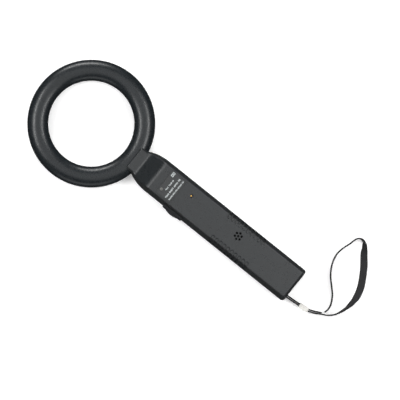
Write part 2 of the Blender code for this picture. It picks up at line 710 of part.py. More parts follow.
def add_trimmer(body_finish, brass):
    """The rotor's pivot is its own vertical axis; its slot can be reached through the hole in the face."""
    foot = BOARD_Z + BOARD_THICKNESS + GAP
    top = foot + TRIMMER_TALL
    half = TRIMMER_HALF
    x, y = TRIMMER_AT
    add_object("trimmer_body", box_mesh((x - half, y - half, foot), (x + half, y + half, top)), body_finish)
    height = HANDLE_HEIGHT - ROTOR_SUNK - top - GAP
    rotor_mesh = turned_mesh((0.0, 0.0), ((ROTOR_RADIUS, 0.0), (ROTOR_RADIUS, height)), 16)
    rotor = add_object("trimmer_rotor", rotor_mesh, brass, pivot=(x, y, top + GAP))
    slot_low = (x - 2 * ROTOR_RADIUS, y - ROTOR_SLOT_HALF, top + GAP + height - ROTOR_SLOT_DEPTH)
    slot_high = (x + 2 * ROTOR_RADIUS, y + ROTOR_SLOT_HALF, HANDLE_HEIGHT)
    combine(rotor, "trimmer_slot", box_mesh(slot_low, slot_high), "DIFFERENCE")


def add_speaker(steel, paper, ferrite, wire):
    """A small loudspeaker bonded under the face: basket with its rim up, cone inside, magnet behind."""
    rim = HANDLE_HEIGHT - WALL - GAP
    back = rim - SPEAKER_DEPTH
    floor = back + SPEAKER_SHEET
    basket = (
        (SPEAKER_RADIUS, rim),
        (SPEAKER_RADIUS, rim - SPEAKER_SHEET),
        (SPEAKER_RADIUS - SPEAKER_FLARE, back),
        (SPEAKER_BACK_HOLE, back),
        (SPEAKER_BACK_HOLE, floor),
        (SPEAKER_RADIUS - SPEAKER_FLARE - SPEAKER_SHEET / 2, floor),
        (SPEAKER_RADIUS - SPEAKER_RIM, rim - SPEAKER_SHEET),
        (SPEAKER_RADIUS - SPEAKER_RIM, rim),
    )
    add_object("speaker_basket", turned_mesh(SPEAKER_AT, basket, 20, closed=True), steel)
    edge = SPEAKER_RADIUS - CONE_EDGE
    cone = [(edge, rim - SPEAKER_SHEET / 2), (edge - GAP / 2, rim - SPEAKER_SHEET)]
    cone += [(radius, rim - drop) for radius, drop in CONE_LOWER + CONE_UPPER]
    add_object("speaker_cone", turned_mesh(SPEAKER_AT, cone, 20, closed=True), paper)
    magnet = ((MAGNET_RADIUS, back - GAP - MAGNET_THICKNESS), (MAGNET_RADIUS, back - GAP))
    add_object("speaker_magnet", turned_mesh(SPEAKER_AT, magnet, 20), ferrite)
    add_wire("speaker_lead", SPEAKER_LEAD, LEAD_RADIUS, wire)


# The board and what stands on it.


def add_board(laminate, screw_finish):
    low = (BOARD_X[0], -BOARD_HALF_WIDTH, BOARD_Z)
    high = (BOARD_X[1], BOARD_HALF_WIDTH, BOARD_Z + BOARD_THICKNESS)
    board = add_object("circuit_board", box_mesh(low, high), laminate)
    holes = bmesh.new()
    for x in BOARD_SCREWS_X:
        add_rod(holes, (x, 0.0), BOARD_SCREW_HOLE, BOARD_Z - WALL, BOARD_Z + 2 * WALL, 12)
    combine(board, "board_screw_holes", holes, "DIFFERENCE")
    for number, x in enumerate(BOARD_SCREWS_X, 1):
        under = BOARD_Z - GAP
        end = under + BOARD_SCREW_LENGTH
        profile = [(radius, under - drop) for radius, drop in BOARD_SCREW_HEAD]
        profile += [(SHANK_RADIUS, under), (SHANK_RADIUS, end), (SCREW_TIP, end + SHANK_RADIUS / 2)]
        add_object(f"board_screw_{number}", turned_mesh((x, 0.0), profile, 12), screw_finish)


def add_components(resin, sleeve):
    foot = BOARD_Z + BOARD_THICKNESS + GAP
    for name, x, y, half_x, half_y in (
        ("detector_chip", 46.0 * MM, -6.5 * MM, 9.5 * MM, 3.2 * MM),
        ("amplifier_chip", 50.0 * MM, 6.5 * MM, 4.8 * MM, 3.2 * MM),
    ):
        low = (x - half_x, y - half_y, foot)
        add_object(name, box_mesh(low, (x + half_x, y + half_y, foot + CHIP_HEIGHT)), resin)
    top = foot + CAPACITOR_HEIGHT
    inward, down = CAPACITOR_BEVEL
    can = ((CAPACITOR_RADIUS, foot), (CAPACITOR_RADIUS, top - down), (CAPACITOR_RADIUS - inward, top))
    for number, place in enumerate(CAPACITORS_AT, 1):
        add_object(f"capacitor_{number}", turned_mesh(place, can), sleeve)


# The rocker switch on the side.


def rectangle(half_x, half_z, inward):
    corners = ((half_x, half_z), (-half_x, half_z), (-half_x, -half_z), (half_x, -half_z))
    return [(x, inward, z) for x, z in corners]


def add_bezel(plastic):
    """A flanged frame: flange outside the wall, sleeve through it, open well for the rocker."""
    loops = [
        rectangle(*WELL_HALF, SLEEVE_DEPTH),
        rectangle(*WELL_HALF, -FLANGE_HEIGHT),
        rectangle(FLANGE_HALF[0] - FLANGE_BEVEL, FLANGE_HALF[1] - FLANGE_BEVEL, -FLANGE_HEIGHT),
        rectangle(*FLANGE_HALF, FLANGE_BEVEL - FLANGE_HEIGHT),
        rectangle(*FLANGE_HALF, -GAP),
        rectangle(*SLEEVE_HALF, -GAP),
        rectangle(*SLEEVE_HALF, SLEEVE_DEPTH),
    ]
    bm = bmesh.new()
    add_loops(bm, loops, closed=True)
    add_object("switch_bezel", bm, plastic, pivot=switch_place(0.0, 0.0, 0.0), tilt=switch_tilt())


def add_rocker(plastic):
    """The crowned rocker, drawn about its pivot line, which runs up the side behind the flange."""
    half = [*ROCKER_BELLY, *[(WELL_HALF[0] - inset, -out) for inset, out in ROCKER_CREST]]
    mirrored = [(-x, y) for x, y in reversed(half)]
    section = [(0.0, ROCKER_KEEL), *half, (0.0, -ROCKER_PEAK), *mirrored]
    bm = bmesh.new()
    half_z = WELL_HALF[1] - GAP
    add_loops(bm, [[(x, y, z) for x, y in section] for z in (-half_z, half_z)])
    pivot = switch_place(0.0, ROCKER_PIVOT, 0.0)
    add_object("switch_rocker", bm, plastic, pivot=pivot, tilt=switch_tilt())


def add_switch_body(plastic, metal, wire):
    bm = bmesh.new()
    front = SLEEVE_DEPTH + GAP
    add_loops(bm, [rectangle(*SLEEVE_HALF, inward) for inward in (front, SWITCH_DEPTH)])
    origin = switch_place(0.0, 0.0, 0.0)
    add_object("switch_body", bm, plastic, pivot=origin, tilt=switch_tilt())
    for number, place in enumerate((-1, 0, 1), 1):
        x = place * TERMINAL_PITCH
        half_x, half_z = TERMINAL_HALF
        low = (x - half_x, SWITCH_DEPTH + GAP, -half_z)
        bm = box_mesh(low, (x + half_x, SWITCH_DEPTH + TERMINAL_REACH, half_z))
        add_object(f"switch_terminal_{number}", bm, metal, pivot=origin, tilt=switch_tilt())
    add_wire("switch_lead", SWITCH_LEAD, LEAD_RADIUS, wire)


# The battery bay.


def add_battery(can, snap_finish, red, black):
    end_x = BATTERY_X[0]
    low = (end_x, -BATTERY_HALF_WIDTH, BATTERY_Z[0])
    battery = add_object("battery", box_mesh(low, (BATTERY_X[1], BATTERY_HALF_WIDTH, BATTERY_Z[1])), can)
    middle = sum(BATTERY_Z) / 2
    studs = bmesh.new()
    for y, radius in zip((-STUD_Y, STUD_Y), STUD_RADII):
        section = arc_points((y, middle), (radius, radius), 0.0, 2 * pi * 11 / 12, 11)
        ends = (end_x - TERMINAL_LENGTH, end_x + STUD_ROOT)
        add_loops(studs, [[(x, sy, sz) for sy, sz in section] for x in ends])
    combine(battery, "battery_studs", studs, "UNION")
    near = end_x - TERMINAL_LENGTH - GAP
    half_y, half_z = SNAP_HALF
    snap = box_mesh((near - SNAP_THICKNESS, -half_y, middle - half_z), (near, half_y, middle + half_z))
    add_object("battery_snap", snap, snap_finish)
    for name, side, finish_used in (("battery_lead_red", 1, red), ("battery_lead_black", -1, black)):
        route = [(x, side * BATTERY_LEAD_Y, z) for x, z in BATTERY_LEAD]
        add_wire(name, route, LEAD_RADIUS, finish_used)


def add_battery_door(plastic):
    """The door tilts about its inner end, where tongues reach over the case; its latch is at the other."""
    hinge_x, hinge_z = DOOR_HINGE
    low, high = DOOR_Z
    plate = box_mesh(
        (DOOR_X[0] - hinge_x, -DOOR_HALF_WIDTH, low - hinge_z),
        (DOOR_X[1] - hinge_x, DOOR_HALF_WIDTH, high - hinge_z),
    )
    door = add_object("battery_door", plate, plastic, pivot=(hinge_x, 0.0, hinge_z))
    fittings = bmesh.new()
    tip, step, root = TONGUE_X
    foot, under, top = TONGUE_Z
    profile = ((tip, under), (step, under), (step, foot), (root, foot), (root, top), (tip, top))
    for side in (1, -1):
        add_loops(fittings, [[(x, side * y, z) for x, z in profile] for y in TONGUE_Y])
    add_box(fittings, (LATCH_X[0], -LATCH_HALF_WIDTH, foot), (LATCH_X[1], LATCH_HALF_WIDTH, LATCH_TOP))
    bmesh.ops.recalc_face_normals(fittings, faces=fittings.faces)
    combine(door, "door_fittings", fittings, "UNION")


def add_case_screws(metal):
    for number, place in enumerate(screw_places(), 1):
        under = SEAT_Z - GAP
        inward, down = CASE_SCREW_BEVEL
        profile = (
            (HEAD_RADIUS - inward, under - CASE_SCREW_HEAD),
            (HEAD_RADIUS, under - CASE_SCREW_HEAD + down),
            (HEAD_RADIUS, under),
            (SHANK_RADIUS, under),
            (SHANK_RADIUS, CASE_SCREW_TOP),
            (SCREW_TIP, CASE_SCREW_TOP + SHANK_RADIUS / 2),
        )
        add_object(f"case_screw_{number}", turned_mesh(place, profile, 12), metal)


# The wrist strap: one length of webbing, its second layer along the stem, and the sewn-on tag.


def ribbon_mesh(route, width, thickness):
    bm = bmesh.new()
    add_loops(bm, ribbon_loops(route, width / 2, thickness / 2))
    return bm


def add_strap(webbing, tag_finish, metal):
    pin = ((ANCHOR_RADIUS, WALL + GAP), (ANCHOR_RADIUS, PARTING_Z - GAP))
    add_object("strap_anchor_pin", turned_mesh((ANCHOR_X, STRAP_Y), pin, 12), metal)
    add_object("wrist_strap", ribbon_mesh(STRAP_ROUTE, STRAP_WIDTH, STRAP_THICKNESS), webbing)
    add_object("strap_tail", ribbon_mesh(TAIL_ROUTE, STRAP_WIDTH, STRAP_THICKNESS), webbing)
    half_inside = STRAP_THICKNESS + TAG_SLACK
    outer = ribbon_loops(TAG_ROUTE, TAG_HALF_HEIGHT, half_inside + TAG_THICKNESS)
    inner = ribbon_loops(TAG_ROUTE, TAG_HALF_HEIGHT - TAG_THICKNESS, half_inside)
    bm = bmesh.new()
    add_loops(bm, outer + inner[::-1], closed=True)
    add_object("strap_tag", bm, tag_finish)


def build():
    clear_scene()
    case = finish("case_plastic", (0.045, 0.048, 0.05), 0.5)
    ring = finish("ring_plastic", (0.03, 0.033, 0.036), 0.42)
    copper = finish("coil_winding", (0.45, 0.18, 0.08), 0.4, 0.8)
    steel = finish("zinc_steel", (0.55, 0.55, 0.57), 0.35, 1.0)
    wire = finish("grey_wire", (0.12, 0.12, 0.13), 0.5)
    add_front_shell(case)
    add_rear_shell(case)
    add_ring(ring, copper)
    add_wire("coil_lead", COIL_LEAD, 2 * LEAD_RADIUS, wire)
    add_label(finish("label_plastic", (0.08, 0.083, 0.085), 0.55))
    lens = finish("frosted_lens", (0.3, 0.3, 0.29), 0.6)
    add_indicator(lens, finish("led_resin", (0.5, 0.04, 0.03), 0.2))
    brass = finish("brass", (0.75, 0.5, 0.16), 0.3, 1.0)
    add_trimmer(finish("trimmer_plastic", (0.02, 0.06, 0.25), 0.4), brass)
    paper = finish("speaker_paper", (0.03, 0.03, 0.03), 0.8)
    add_speaker(steel, paper, finish("ferrite", (0.06, 0.06, 0.065), 0.5, 0.3), wire)
    add_board(finish("board_laminate", (0.02, 0.16, 0.06), 0.4), steel)
    resin = finish("chip_resin", (0.02, 0.02, 0.022), 0.5)
    add_components(resin, finish("capacitor_sleeve", (0.02, 0.03, 0.12), 0.35))
    switch = finish("switch_plastic", (0.02, 0.021, 0.023), 0.35)
    add_bezel(switch)
    add_rocker(switch)
    add_switch_body(switch, steel, wire)
    red = finish("red_wire", (0.4, 0.02, 0.02), 0.5)
    black = finish("black_wire", (0.015, 0.015, 0.015), 0.5)
    add_battery(finish("battery_can", (0.35, 0.35, 0.37), 0.35, 0.6), resin, red, black)
    add_battery_door(case)
    add_case_screws(steel)
    tag = finish("tag_cloth", (0.75, 0.74, 0.7), 0.8)
    add_strap(finish("webbing", (0.01, 0.01, 0.011), 0.85), tag, steel)


build()
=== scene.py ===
"""Looks of the hand-held ring detector wand: fine shells, printed label, switch, strap and finishes."""

import json
from math import atan, cos, hypot, pi, radians, sin, sqrt, tan

import bmesh
import bpy
from mathutils import Matrix, Vector


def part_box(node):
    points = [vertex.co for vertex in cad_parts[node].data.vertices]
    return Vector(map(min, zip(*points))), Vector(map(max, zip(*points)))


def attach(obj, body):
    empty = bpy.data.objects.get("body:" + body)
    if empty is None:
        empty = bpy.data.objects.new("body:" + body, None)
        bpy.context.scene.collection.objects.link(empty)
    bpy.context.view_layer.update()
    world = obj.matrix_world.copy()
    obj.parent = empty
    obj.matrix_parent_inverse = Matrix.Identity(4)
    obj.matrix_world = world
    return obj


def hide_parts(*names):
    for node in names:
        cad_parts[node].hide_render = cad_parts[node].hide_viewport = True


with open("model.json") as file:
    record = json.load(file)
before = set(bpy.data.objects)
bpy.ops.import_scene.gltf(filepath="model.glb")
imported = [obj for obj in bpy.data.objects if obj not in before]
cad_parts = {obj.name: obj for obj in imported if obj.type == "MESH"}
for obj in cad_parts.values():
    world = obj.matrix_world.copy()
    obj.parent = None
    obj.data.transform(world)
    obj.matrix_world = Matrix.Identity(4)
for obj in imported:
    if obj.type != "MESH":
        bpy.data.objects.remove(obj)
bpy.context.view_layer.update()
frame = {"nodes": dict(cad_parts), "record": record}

MM = 0.001

# The case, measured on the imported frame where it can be.
FRONT_LOW, FRONT_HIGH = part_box("front_shell")
REAR_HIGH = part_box("rear_shell")[1]
RING_LOW, RING_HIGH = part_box("ring_front_shell")
RING_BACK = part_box("ring_rear_shell")[0].z
HANDLE_END_X = FRONT_HIGH.x
HANDLE_HALF_WIDTH = FRONT_HIGH.y
HANDLE_HEIGHT = FRONT_HIGH.z
SEAM = 0.16 * MM
PARTING_Z = (FRONT_LOW.z + REAR_HIGH.z) / 2
WALL = 2.0 * MM
RING_OUTER = RING_HIGH.y
RING_X = RING_LOW.x + RING_OUTER
RING_HALF_WIDTH = 11.5 * MM
RING_RADIUS = RING_OUTER - RING_HALF_WIDTH
RING_HALF_DEPTH = PARTING_Z - RING_BACK - SEAM / 4

END_CORNER = 3.3 * MM
FACE_EDGE = 1.2 * MM
PAD_ROUND = 1.0 * MM
PAD_WALL_DROP = 2.9 * MM
PAD_WALL_LEAN = radians(30)
BACK_EDGE = 1.6 * MM
DRAFT = 0.145
END_DRAFT_SHARE = 0.85
PAD_X = -49.6 * MM
PAD_HALF_WIDTH = 15.4 * MM
PAD_CORNER = 2.8 * MM
PAD_DRAFT_SHARE = 1.15
NECK_START_X = -38.4 * MM
NECK_END_X = -13.9 * MM
NECK_START_SLOPE = 0.547
FACE_X = -11.6 * MM
RAMP_ANGLE = radians(42)
RAMP_RUN = 14.2 * MM
CREST_RADIUS = 10.6 * MM
FOOT_RADIUS = 6.9 * MM

NOTCH_COUNT = 10
NOTCH_FIRST_X = 74.3 * MM
NOTCH_PITCH = 5.15 * MM
NOTCH_RADIUS = 1.6 * MM
NOTCH_INNER_Y = 12.0 * MM
NOTCH_DEPTH = 1.05 * MM
NOTCH_FOOT_Z = 17.0 * MM
NOTCH_SOFTNESS = 0.3 * MM

LABEL_X = (-5.2 * MM, 14.5 * MM)
LABEL_HALF_WIDTH = 15.0 * MM
LABEL_DEPTH = 0.6 * MM
LED_AT = (-2.0 * MM, -8.5 * MM)
LENS_RADIUS = 1.6 * MM
TRIMMER_HOLE_AT = (28.5 * MM, 5.9 * MM)
TRIMMER_AT = (27.9 * MM, 5.9 * MM)
TRIMMER_HOLE = 1.8 * MM
SPEAKER_AT = (95.0 * MM, 3.6 * MM)
SPEAKER_HOLE = 1.3 * MM
SPEAKER_CIRCLE = 3.7 * MM
SPEAKER_HOLES = 6

SWITCH_X = 23.1 * MM
SWITCH_Z = 20.0 * MM
FLANGE_HALF = (12.6 * MM, 6.5 * MM)
SLEEVE_HALF = (10.9 * MM, 5.1 * MM)
WELL_HALF = (9.6 * MM, 3.9 * MM)
FLANGE_HEIGHT = 2.0 * MM
SLEEVE_DEPTH = 4.0 * MM
ROCKER_PIVOT = 1.0 * MM

# The webbing's route in millimetres, with its lean in degrees: 0 stands on edge and 90 lies flat.
STRAP_WIDTH = 8.0 * MM
STRAP_THICKNESS = 1.5 * MM
STRAP_ROUTE = (
    (174.3, -14.5, 6.8, 0), (179.0, -14.4, 6.6, 0), (187.0, -13.9, 5.4, 0), (194.6, -13.3, 4.7, 0),
    (200.5, -12.7, 4.7, 0), (206.3, -11.9, 4.7, 0), (213.5, -9.0, 4.3, 0), (220.4, -5.0, 4.1, 0),
    (226.6, -1.6, 4.1, 0), (232.4, 4.4, 4.15, 0), (236.9, 15.0, 4.25, 12), (238.8, 26.0, 3.85, 38),
    (238.4, 35.5, 2.65, 66), (235.7, 44.7, 1.75, 80), (231.0, 54.0, 1.5, 84), (223.9, 65.2, 1.65, 82),
    (216.2, 75.0, 2.65, 66), (211.2, 82.2, 4.0, 34), (206.6, 86.4, 4.25, 8), (201.4, 86.3, 4.1, 0),
    (198.4, 82.2, 4.1, 0), (196.6, 75.0, 4.1, 0), (193.6, 66.0, 4.1, 0), (192.4, 56.0, 4.1, 0),
    (195.2, 45.0, 4.1, 0), (201.4, 34.5, 4.1, 0), (209.6, 26.0, 4.1, 0), (216.6, 18.6, 4.1, 0),
    (221.6, 9.6, 4.1, 0), (222.6, 3.0, 4.1, 0), (221.6, -1.2, 4.1, 0),
)
TAIL_ROUTE = (
    (174.3, -12.6, 6.8, 0), (179.0, -12.5, 6.6, 0), (187.0, -12.0, 5.4, 0), (194.4, -11.4, 4.7, 0),
    (200.2, -10.8, 4.7, 0), (205.6, -10.1, 4.7, 0), (212.6, -7.2, 4.3, 0), (219.2, -3.6, 4.1, 0),
)
TAG_ROUTE = ((194.8, -12.33, 4.7, 0), (200.3, -11.75, 4.7, 0), (206.0, -11.0, 4.7, 0))


# Mesh helpers.


def link_mesh(name, bm):
    """Makes an object of the mesh under construction, with its faces pointing out."""
    bmesh.ops.recalc_face_normals(bm, faces=bm.faces)
    mesh = bpy.data.meshes.new(name)
    bm.to_mesh(mesh)
    bm.free()
    obj = bpy.data.objects.new(name, mesh)
    bpy.context.scene.collection.objects.link(obj)
    return obj


def smooth(obj, angle):
    obj.data.shade_smooth()
    obj.data.set_sharp_from_angle(angle=radians(angle))


def even_normals(obj):
    modifier = obj.modifiers.new("even_normals", "WEIGHTED_NORMAL")
    modifier.keep_sharp = True


def new_object(name, bm, material, smooth_angle=40):
    obj = link_mesh(name, bm)
    obj.data.materials.append(material)
    smooth(obj, smooth_angle)
    return obj


def apply_modifiers(obj):
    """Replaces the object's mesh by its evaluated one and drops the modifiers."""
    graph = bpy.context.evaluated_depsgraph_get()
    mesh = bpy.data.meshes.new_from_object(obj.evaluated_get(graph))
    old = obj.data
    obj.modifiers.clear()
    obj.data = mesh
    bpy.data.meshes.remove(old)


def cut(obj, bm, operation="DIFFERENCE"):
    """Cuts a mesh from the object, or joins it on, and keeps only the result."""
    helper = link_mesh("cutter", bm)
    modifier = obj.modifiers.new("cut", "BOOLEAN")
    modifier.operation = operation
    modifier.object = helper
    apply_modifiers(obj)
    bpy.data.meshes.remove(helper.data)


def round_edges(obj, width, segments, angle):
    modifier = obj.modifiers.new("round_edges", "BEVEL")
    modifier.width = width
    modifier.segments = segments
    modifier.limit_method = "ANGLE"
    modifier.angle_limit = radians(angle)
    apply_modifiers(obj)


FLAT_AREA = 15 * MM * MM
FLAT_CREASE = radians(5)


def keep_flats_flat(mesh):
    """Marks the border of each large level face sharp, so that its shading stays level up to the border."""
    bm = bmesh.new()
    bm.from_mesh(mesh)
    for edge in bm.edges:
        flats = [f for f in edge.link_faces if abs(f.normal.z) > 0.9999 and f.calc_area() > FLAT_AREA]
        if len(flats) == 1 and edge.calc_face_angle(0.0) > FLAT_CREASE:
            edge.smooth = False
    bm.to_mesh(mesh)
    bm.free()


def resmooth(obj, smooth_angle=40):
    smooth(obj, smooth_angle)
    keep_flats_flat(obj.data)
    even_normals(obj)


def bridge(bm, rows):
    """Faces between each row of points and the next, all the way round."""
    count = len(rows[0])
    for low, high in zip(rows, rows[1:]):
        for i in range(count):
            j = (i + 1) % count
            bm.faces.new((low[i], low[j], high[j], high[i]))


def cap_ends(bm, rows):
    bm.faces.new(reversed(rows[0]))
    bm.faces.new(rows[-1])


def add_loops(bm, loops, closed=False):
    """Skins a row of point loops; closed joins the last loop to the first, otherwise both ends are capped."""
    rows = [[bm.verts.new(point) for point in loop] for loop in loops]
    if closed:
        bridge(bm, rows + rows[:1])
    else:
        bridge(bm, rows)
        cap_ends(bm, rows)


def skinned(loops, closed=False):
    bm = bmesh.new()
    add_loops(bm, loops, closed)
    return bm


def at_height(plan, z):
    return [(x, y, z) for x, y in plan]


def add_turned(bm, centre, profile, steps=40):
    """Turns (radius, z) points about the vertical line through centre."""
    add_loops(bm, [at_height(ellipse(centre, (radius, radius), steps), z) for radius, z in profile])


def add_prism(bm, plan, low, high):
    add_loops(bm, [at_height(plan, low), at_height(plan, high)])


def add_box(bm, low, high):
    plan = ((low[0], low[1]), (high[0], low[1]), (high[0], high[1]), (low[0], high[1]))
    add_prism(bm, plan, low[2], high[2])


def arc_points(centre, radii, start, end, steps):
    angles = [start + (end - start) * step / steps for step in range(steps + 1)]
    return [(centre[0] + radii[0] * cos(a), centre[1] + radii[1] * sin(a)) for a in angles]


def ellipse(centre, radii, count):
    return arc_points(centre, radii, 0.0, 2 * pi * (count - 1) / count, count - 1)


def quarter_round(radius, steps):
    """A quarter round as (inward, down) pairs, from its upright foot to its level top."""
    turns = [radians(90 * k / steps) for k in range(steps + 1)]
    return [(radius * (1 - cos(a)), radius * (1 - sin(a))) for a in turns]


def rounded_rectangle(low, high, corner, steps=5, inset=0.0):
    """Plan points of a rectangle with round corners, counter-clockwise, moved in all round by inset."""
    left = low[0] + inset + corner
    right = high[0] - inset - corner
    front = low[1] + inset + corner
    back = high[1] - inset - corner
    points = []
    for quarter, (x, y) in enumerate(((right, back), (left, back), (left, front), (right, front))):
        start = quarter * pi / 2
        points += arc_points((x, y), (corner, corner), start, start + pi / 2, steps)
    return points


def stand_in(piece, node, body="case"):
    """The piece stands in for a CAD node, which it hides, and rides on a body."""
    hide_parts(node)
    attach(piece, body)


def smoothstep(low, high, value):
    t = min(1.0, max(0.0, (value - low) / (high - low)))
    return t * t * (3 - 2 * t)


# Node material helpers.

BLOTCH_SIZE = 14 * MM
MOTTLE_SIZE = 0.9 * MM
MOTTLE_DEPTH = 0.14 * MM
SPECK_SIZE = 0.7 * MM
RUB_SIZE = 1.1 * MM
GLOSS_SIZE = 6 * MM
WORN_GREY = (0.2, 0.2, 0.2)

SHADER_SOCKETS = {
    "colour": "Base Color", "roughness": "Roughness", "normal": "Normal", "metallic": "Metallic",
    "specular": "Specular IOR Level", "sheen": "Sheen Weight", "sheen_roughness": "Sheen Roughness",
}


class Finish:
    """A procedural material under construction: a Principled shader with object coordinates in metres."""

    def __init__(self, name):
        self.material = bpy.data.materials.new(name)
        self.material.use_nodes = True
        self.tree = self.material.node_tree
        self.shader = self.tree.nodes["Principled BSDF"]
        self.place = self.node("TexCoord").outputs["Object"]

    def feed(self, socket, value):
        """Links another node's output to the socket, or sets a plain number, colour or vector on it."""
        if isinstance(value, bpy.types.NodeSocket):
            self.tree.links.new(value, socket)
        elif socket.type == "RGBA":
            socket.default_value = (*value, 1.0)
        else:
            socket.default_value = value

    def node(self, kind, **values):
        node = self.tree.nodes.new("ShaderNode" + kind)
        for name, value in values.items():
            self.feed(node.inputs[name.replace("_", " ")], value)
        return node

    def set(self, **values):
        for name, value in values.items():
            self.feed(self.shader.inputs[SHADER_SOCKETS[name]], value)

    def noise(self, size, detail=3.0, roughness=0.55, stretch=None):
        """Noise whose blotches are about size metres across."""
        place = self.place
        if stretch:
            place = self.node("Mapping", Scale=stretch, Vector=self.place).outputs["Vector"]
        node = self.node("TexNoise", Scale=1.0 / size, Detail=detail, Roughness=roughness, Vector=place)
        return node.outputs["Fac"]

    def attribute(self, name):
        node = self.node("Attribute")
        node.attribute_name = name
        return node.outputs["Fac"]

    def math(self, operation, first, second):
        node = self.node("Math")
        node.operation = operation
        self.feed(node.inputs[0], first)
        self.feed(node.inputs[1], second)
        return node.outputs["Value"]

    def scaled(self, value, low, high, start=0.3, end=0.7):
        """Runs from low to high as the value goes from start to end."""
        node = self.node("MapRange", Value=value, From_Min=start, From_Max=end, To_Min=low, To_Max=high)
        return node.outputs["Result"]

    def mix(self, amount, first, second):
        """Mixes two colours, each a socket or a plain (r, g, b)."""
        node = self.node("Mix", Factor=amount)
        node.data_type = "RGBA"
        for name, value in (("A", first), ("B", second)):
            self.feed(next(s for s in node.inputs if s.name == name and s.type == "RGBA"), value)
        return next(s for s in node.outputs if s.type == "RGBA")

    def bump(self, *layers):
        """Stacks bumps, each a (height, depth in metres) pair."""
        layer = {}
        for height, depth in layers:
            node = self.node("Bump", Strength=1.0, Distance=depth, Height=height, **layer)
            layer = {"Normal": node.outputs["Normal"]}
        self.set(normal=node.outputs["Normal"])


def moulded_plastic(name, colour, rough, grain, grain_depth, mottle, specular=0.5):
    """Textured moulded plastic: fine spark grain, mottling, uneven gloss and polished, paler edges."""
    finish = Finish(name)
    blotches = finish.scaled(finish.noise(BLOTCH_SIZE), 0.0, 1.0)
    blotched = finish.mix(blotches, tuple(c * 0.8 for c in colour), tuple(c * 1.2 for c in colour))
    mottling = finish.noise(MOTTLE_SIZE, 2.0, 0.5)
    specks = finish.scaled(finish.noise(SPECK_SIZE, 2.0, 0.5), 0.0, 0.8, 0.4, 0.62)
    speckled = finish.mix(specks, blotched, tuple(c * (1 + 16 * mottle) for c in colour))
    rubbed = finish.scaled(finish.noise(RUB_SIZE), 0.25, 1.0, 0.35, 0.65)
    edge = finish.math("MULTIPLY", finish.attribute("edge"), rubbed)
    finish.set(colour=finish.mix(finish.math("MULTIPLY", edge, 0.12), speckled, WORN_GREY))
    gloss = finish.math("ADD", finish.scaled(finish.noise(GLOSS_SIZE), rough - 0.02, rough + 0.03),
                        finish.scaled(mottling, -mottle, mottle, 0.35, 0.65))
    finish.set(roughness=finish.math("SUBTRACT", gloss, finish.math("MULTIPLY", edge, 0.1)))
    finish.bump((finish.noise(grain, 2.0, 0.5), grain_depth), (mottling, mottle * MOTTLE_DEPTH))
    finish.set(specular=specular)
    return finish.material


def webbing_cloth(name, colour, painted_rib_highlight):
    """Woven polyester with a faint sheen and stray fibre fuzz; its colour carries painted shade between the
    ribs of the weave and a painted highlight on their tops.
    """
    finish = Finish(name)
    rib = finish.attribute("weave")
    # Painted shade and highlight: the rib tops take the lighter colour and the hollows between ribs a darker
    # copy of the cloth's colour.
    painted_weave_shading = finish.mix(rib, tuple(c * 0.45 for c in colour), painted_rib_highlight)
    fade = finish.scaled(finish.noise(6 * MM), 0.0, 0.35)
    finish.set(colour=finish.mix(fade, painted_weave_shading, colour))
    finish.set(roughness=finish.scaled(finish.noise(0.5 * MM), 0.62, 0.85))
    finish.bump((finish.noise(0.12 * MM, 2.0), 0.03 * MM))
    finish.set(specular=0.25, sheen=0.04, sheen_roughness=0.45)
    return finish.material


def turned_metal(name, colour, rough):
    """Bare or plated metal with fine machining streaks and a little tarnish."""
    finish = Finish(name)
    tarnish = finish.scaled(finish.noise(1.6 * MM, 4.0), 0.0, 0.45, 0.4, 0.7)
    finish.set(colour=finish.mix(tarnish, colour, tuple(c * 0.6 for c in colour)))
    finish.set(roughness=finish.scaled(finish.noise(0.4 * MM), rough - 0.08, rough + 0.12))
    finish.bump((finish.noise(0.3 * MM, 2.0, stretch=(1.0, 6.0, 1.0)), 0.006 * MM))
    finish.set(metallic=1.0)
    return finish.material


def plain_coating(name, colour, rough, grain=0.5 * MM, depth=0.01 * MM, **settings):
    """Any small moulded, painted or rubber surface inside or under the case."""
    finish = Finish(name)
    blotch = finish.scaled(finish.noise(3 * MM), 0.0, 1.0)
    paler = tuple(min(1.0, c * 1.15) for c in colour)
    finish.set(colour=finish.mix(blotch, tuple(c * 0.82 for c in colour), paler))
    finish.set(roughness=finish.scaled(finish.noise(1.5 * MM), rough - 0.05, rough + 0.08))
    finish.bump((finish.noise(grain, 2.0), depth))
    finish.set(**settings)
    return finish.material


CASE = moulded_plastic("case_grain", (0.0036, 0.0048, 0.0056), 0.37, 0.35 * MM, 0.02 * MM, 0.1)
RING = moulded_plastic("ring_satin", (0.0042, 0.0056, 0.0066), 0.33, 0.5 * MM, 0.008 * MM, 0.1, 0.34)
LABEL = moulded_plastic("label_satin", (0.011, 0.012, 0.0125), 0.42, 0.25 * MM, 0.008 * MM, 0.06, 0.45)
SWITCH = moulded_plastic("switch_gloss", (0.006, 0.0068, 0.0078), 0.34, 0.3 * MM, 0.004 * MM, 0.05, 0.35)
INK = plain_coating("label_ink", (0.52, 0.56, 0.56), 0.6, grain=0.2 * MM, depth=0.01 * MM)
LENS = plain_coating("frosted_lens", (0.085, 0.085, 0.08), 0.45, grain=0.2 * MM, specular=0.5)
BRASS = turned_metal("turned_brass", (0.75, 0.48, 0.15), 0.28)
STEEL = turned_metal("zinc_steel", (0.55, 0.56, 0.58), 0.32)
# The webbing's third colour is the painted highlight on the rib tops of its weave.
WEBBING = webbing_cloth("twill_webbing", (0.004, 0.004, 0.0045), (0.018, 0.018, 0.019))
THREAD = plain_coating("black_thread", (0.03, 0.03, 0.032), 0.6, grain=0.15 * MM, depth=0.03 * MM, sheen=0.2)
TAG = plain_coating("tag_cloth", (0.6, 0.59, 0.56), 0.8, grain=0.25 * MM, depth=0.03 * MM, sheen=0.2)
TAG_INK = plain_coating("tag_ink", (0.25, 0.25, 0.27), 0.8, grain=0.2 * MM)

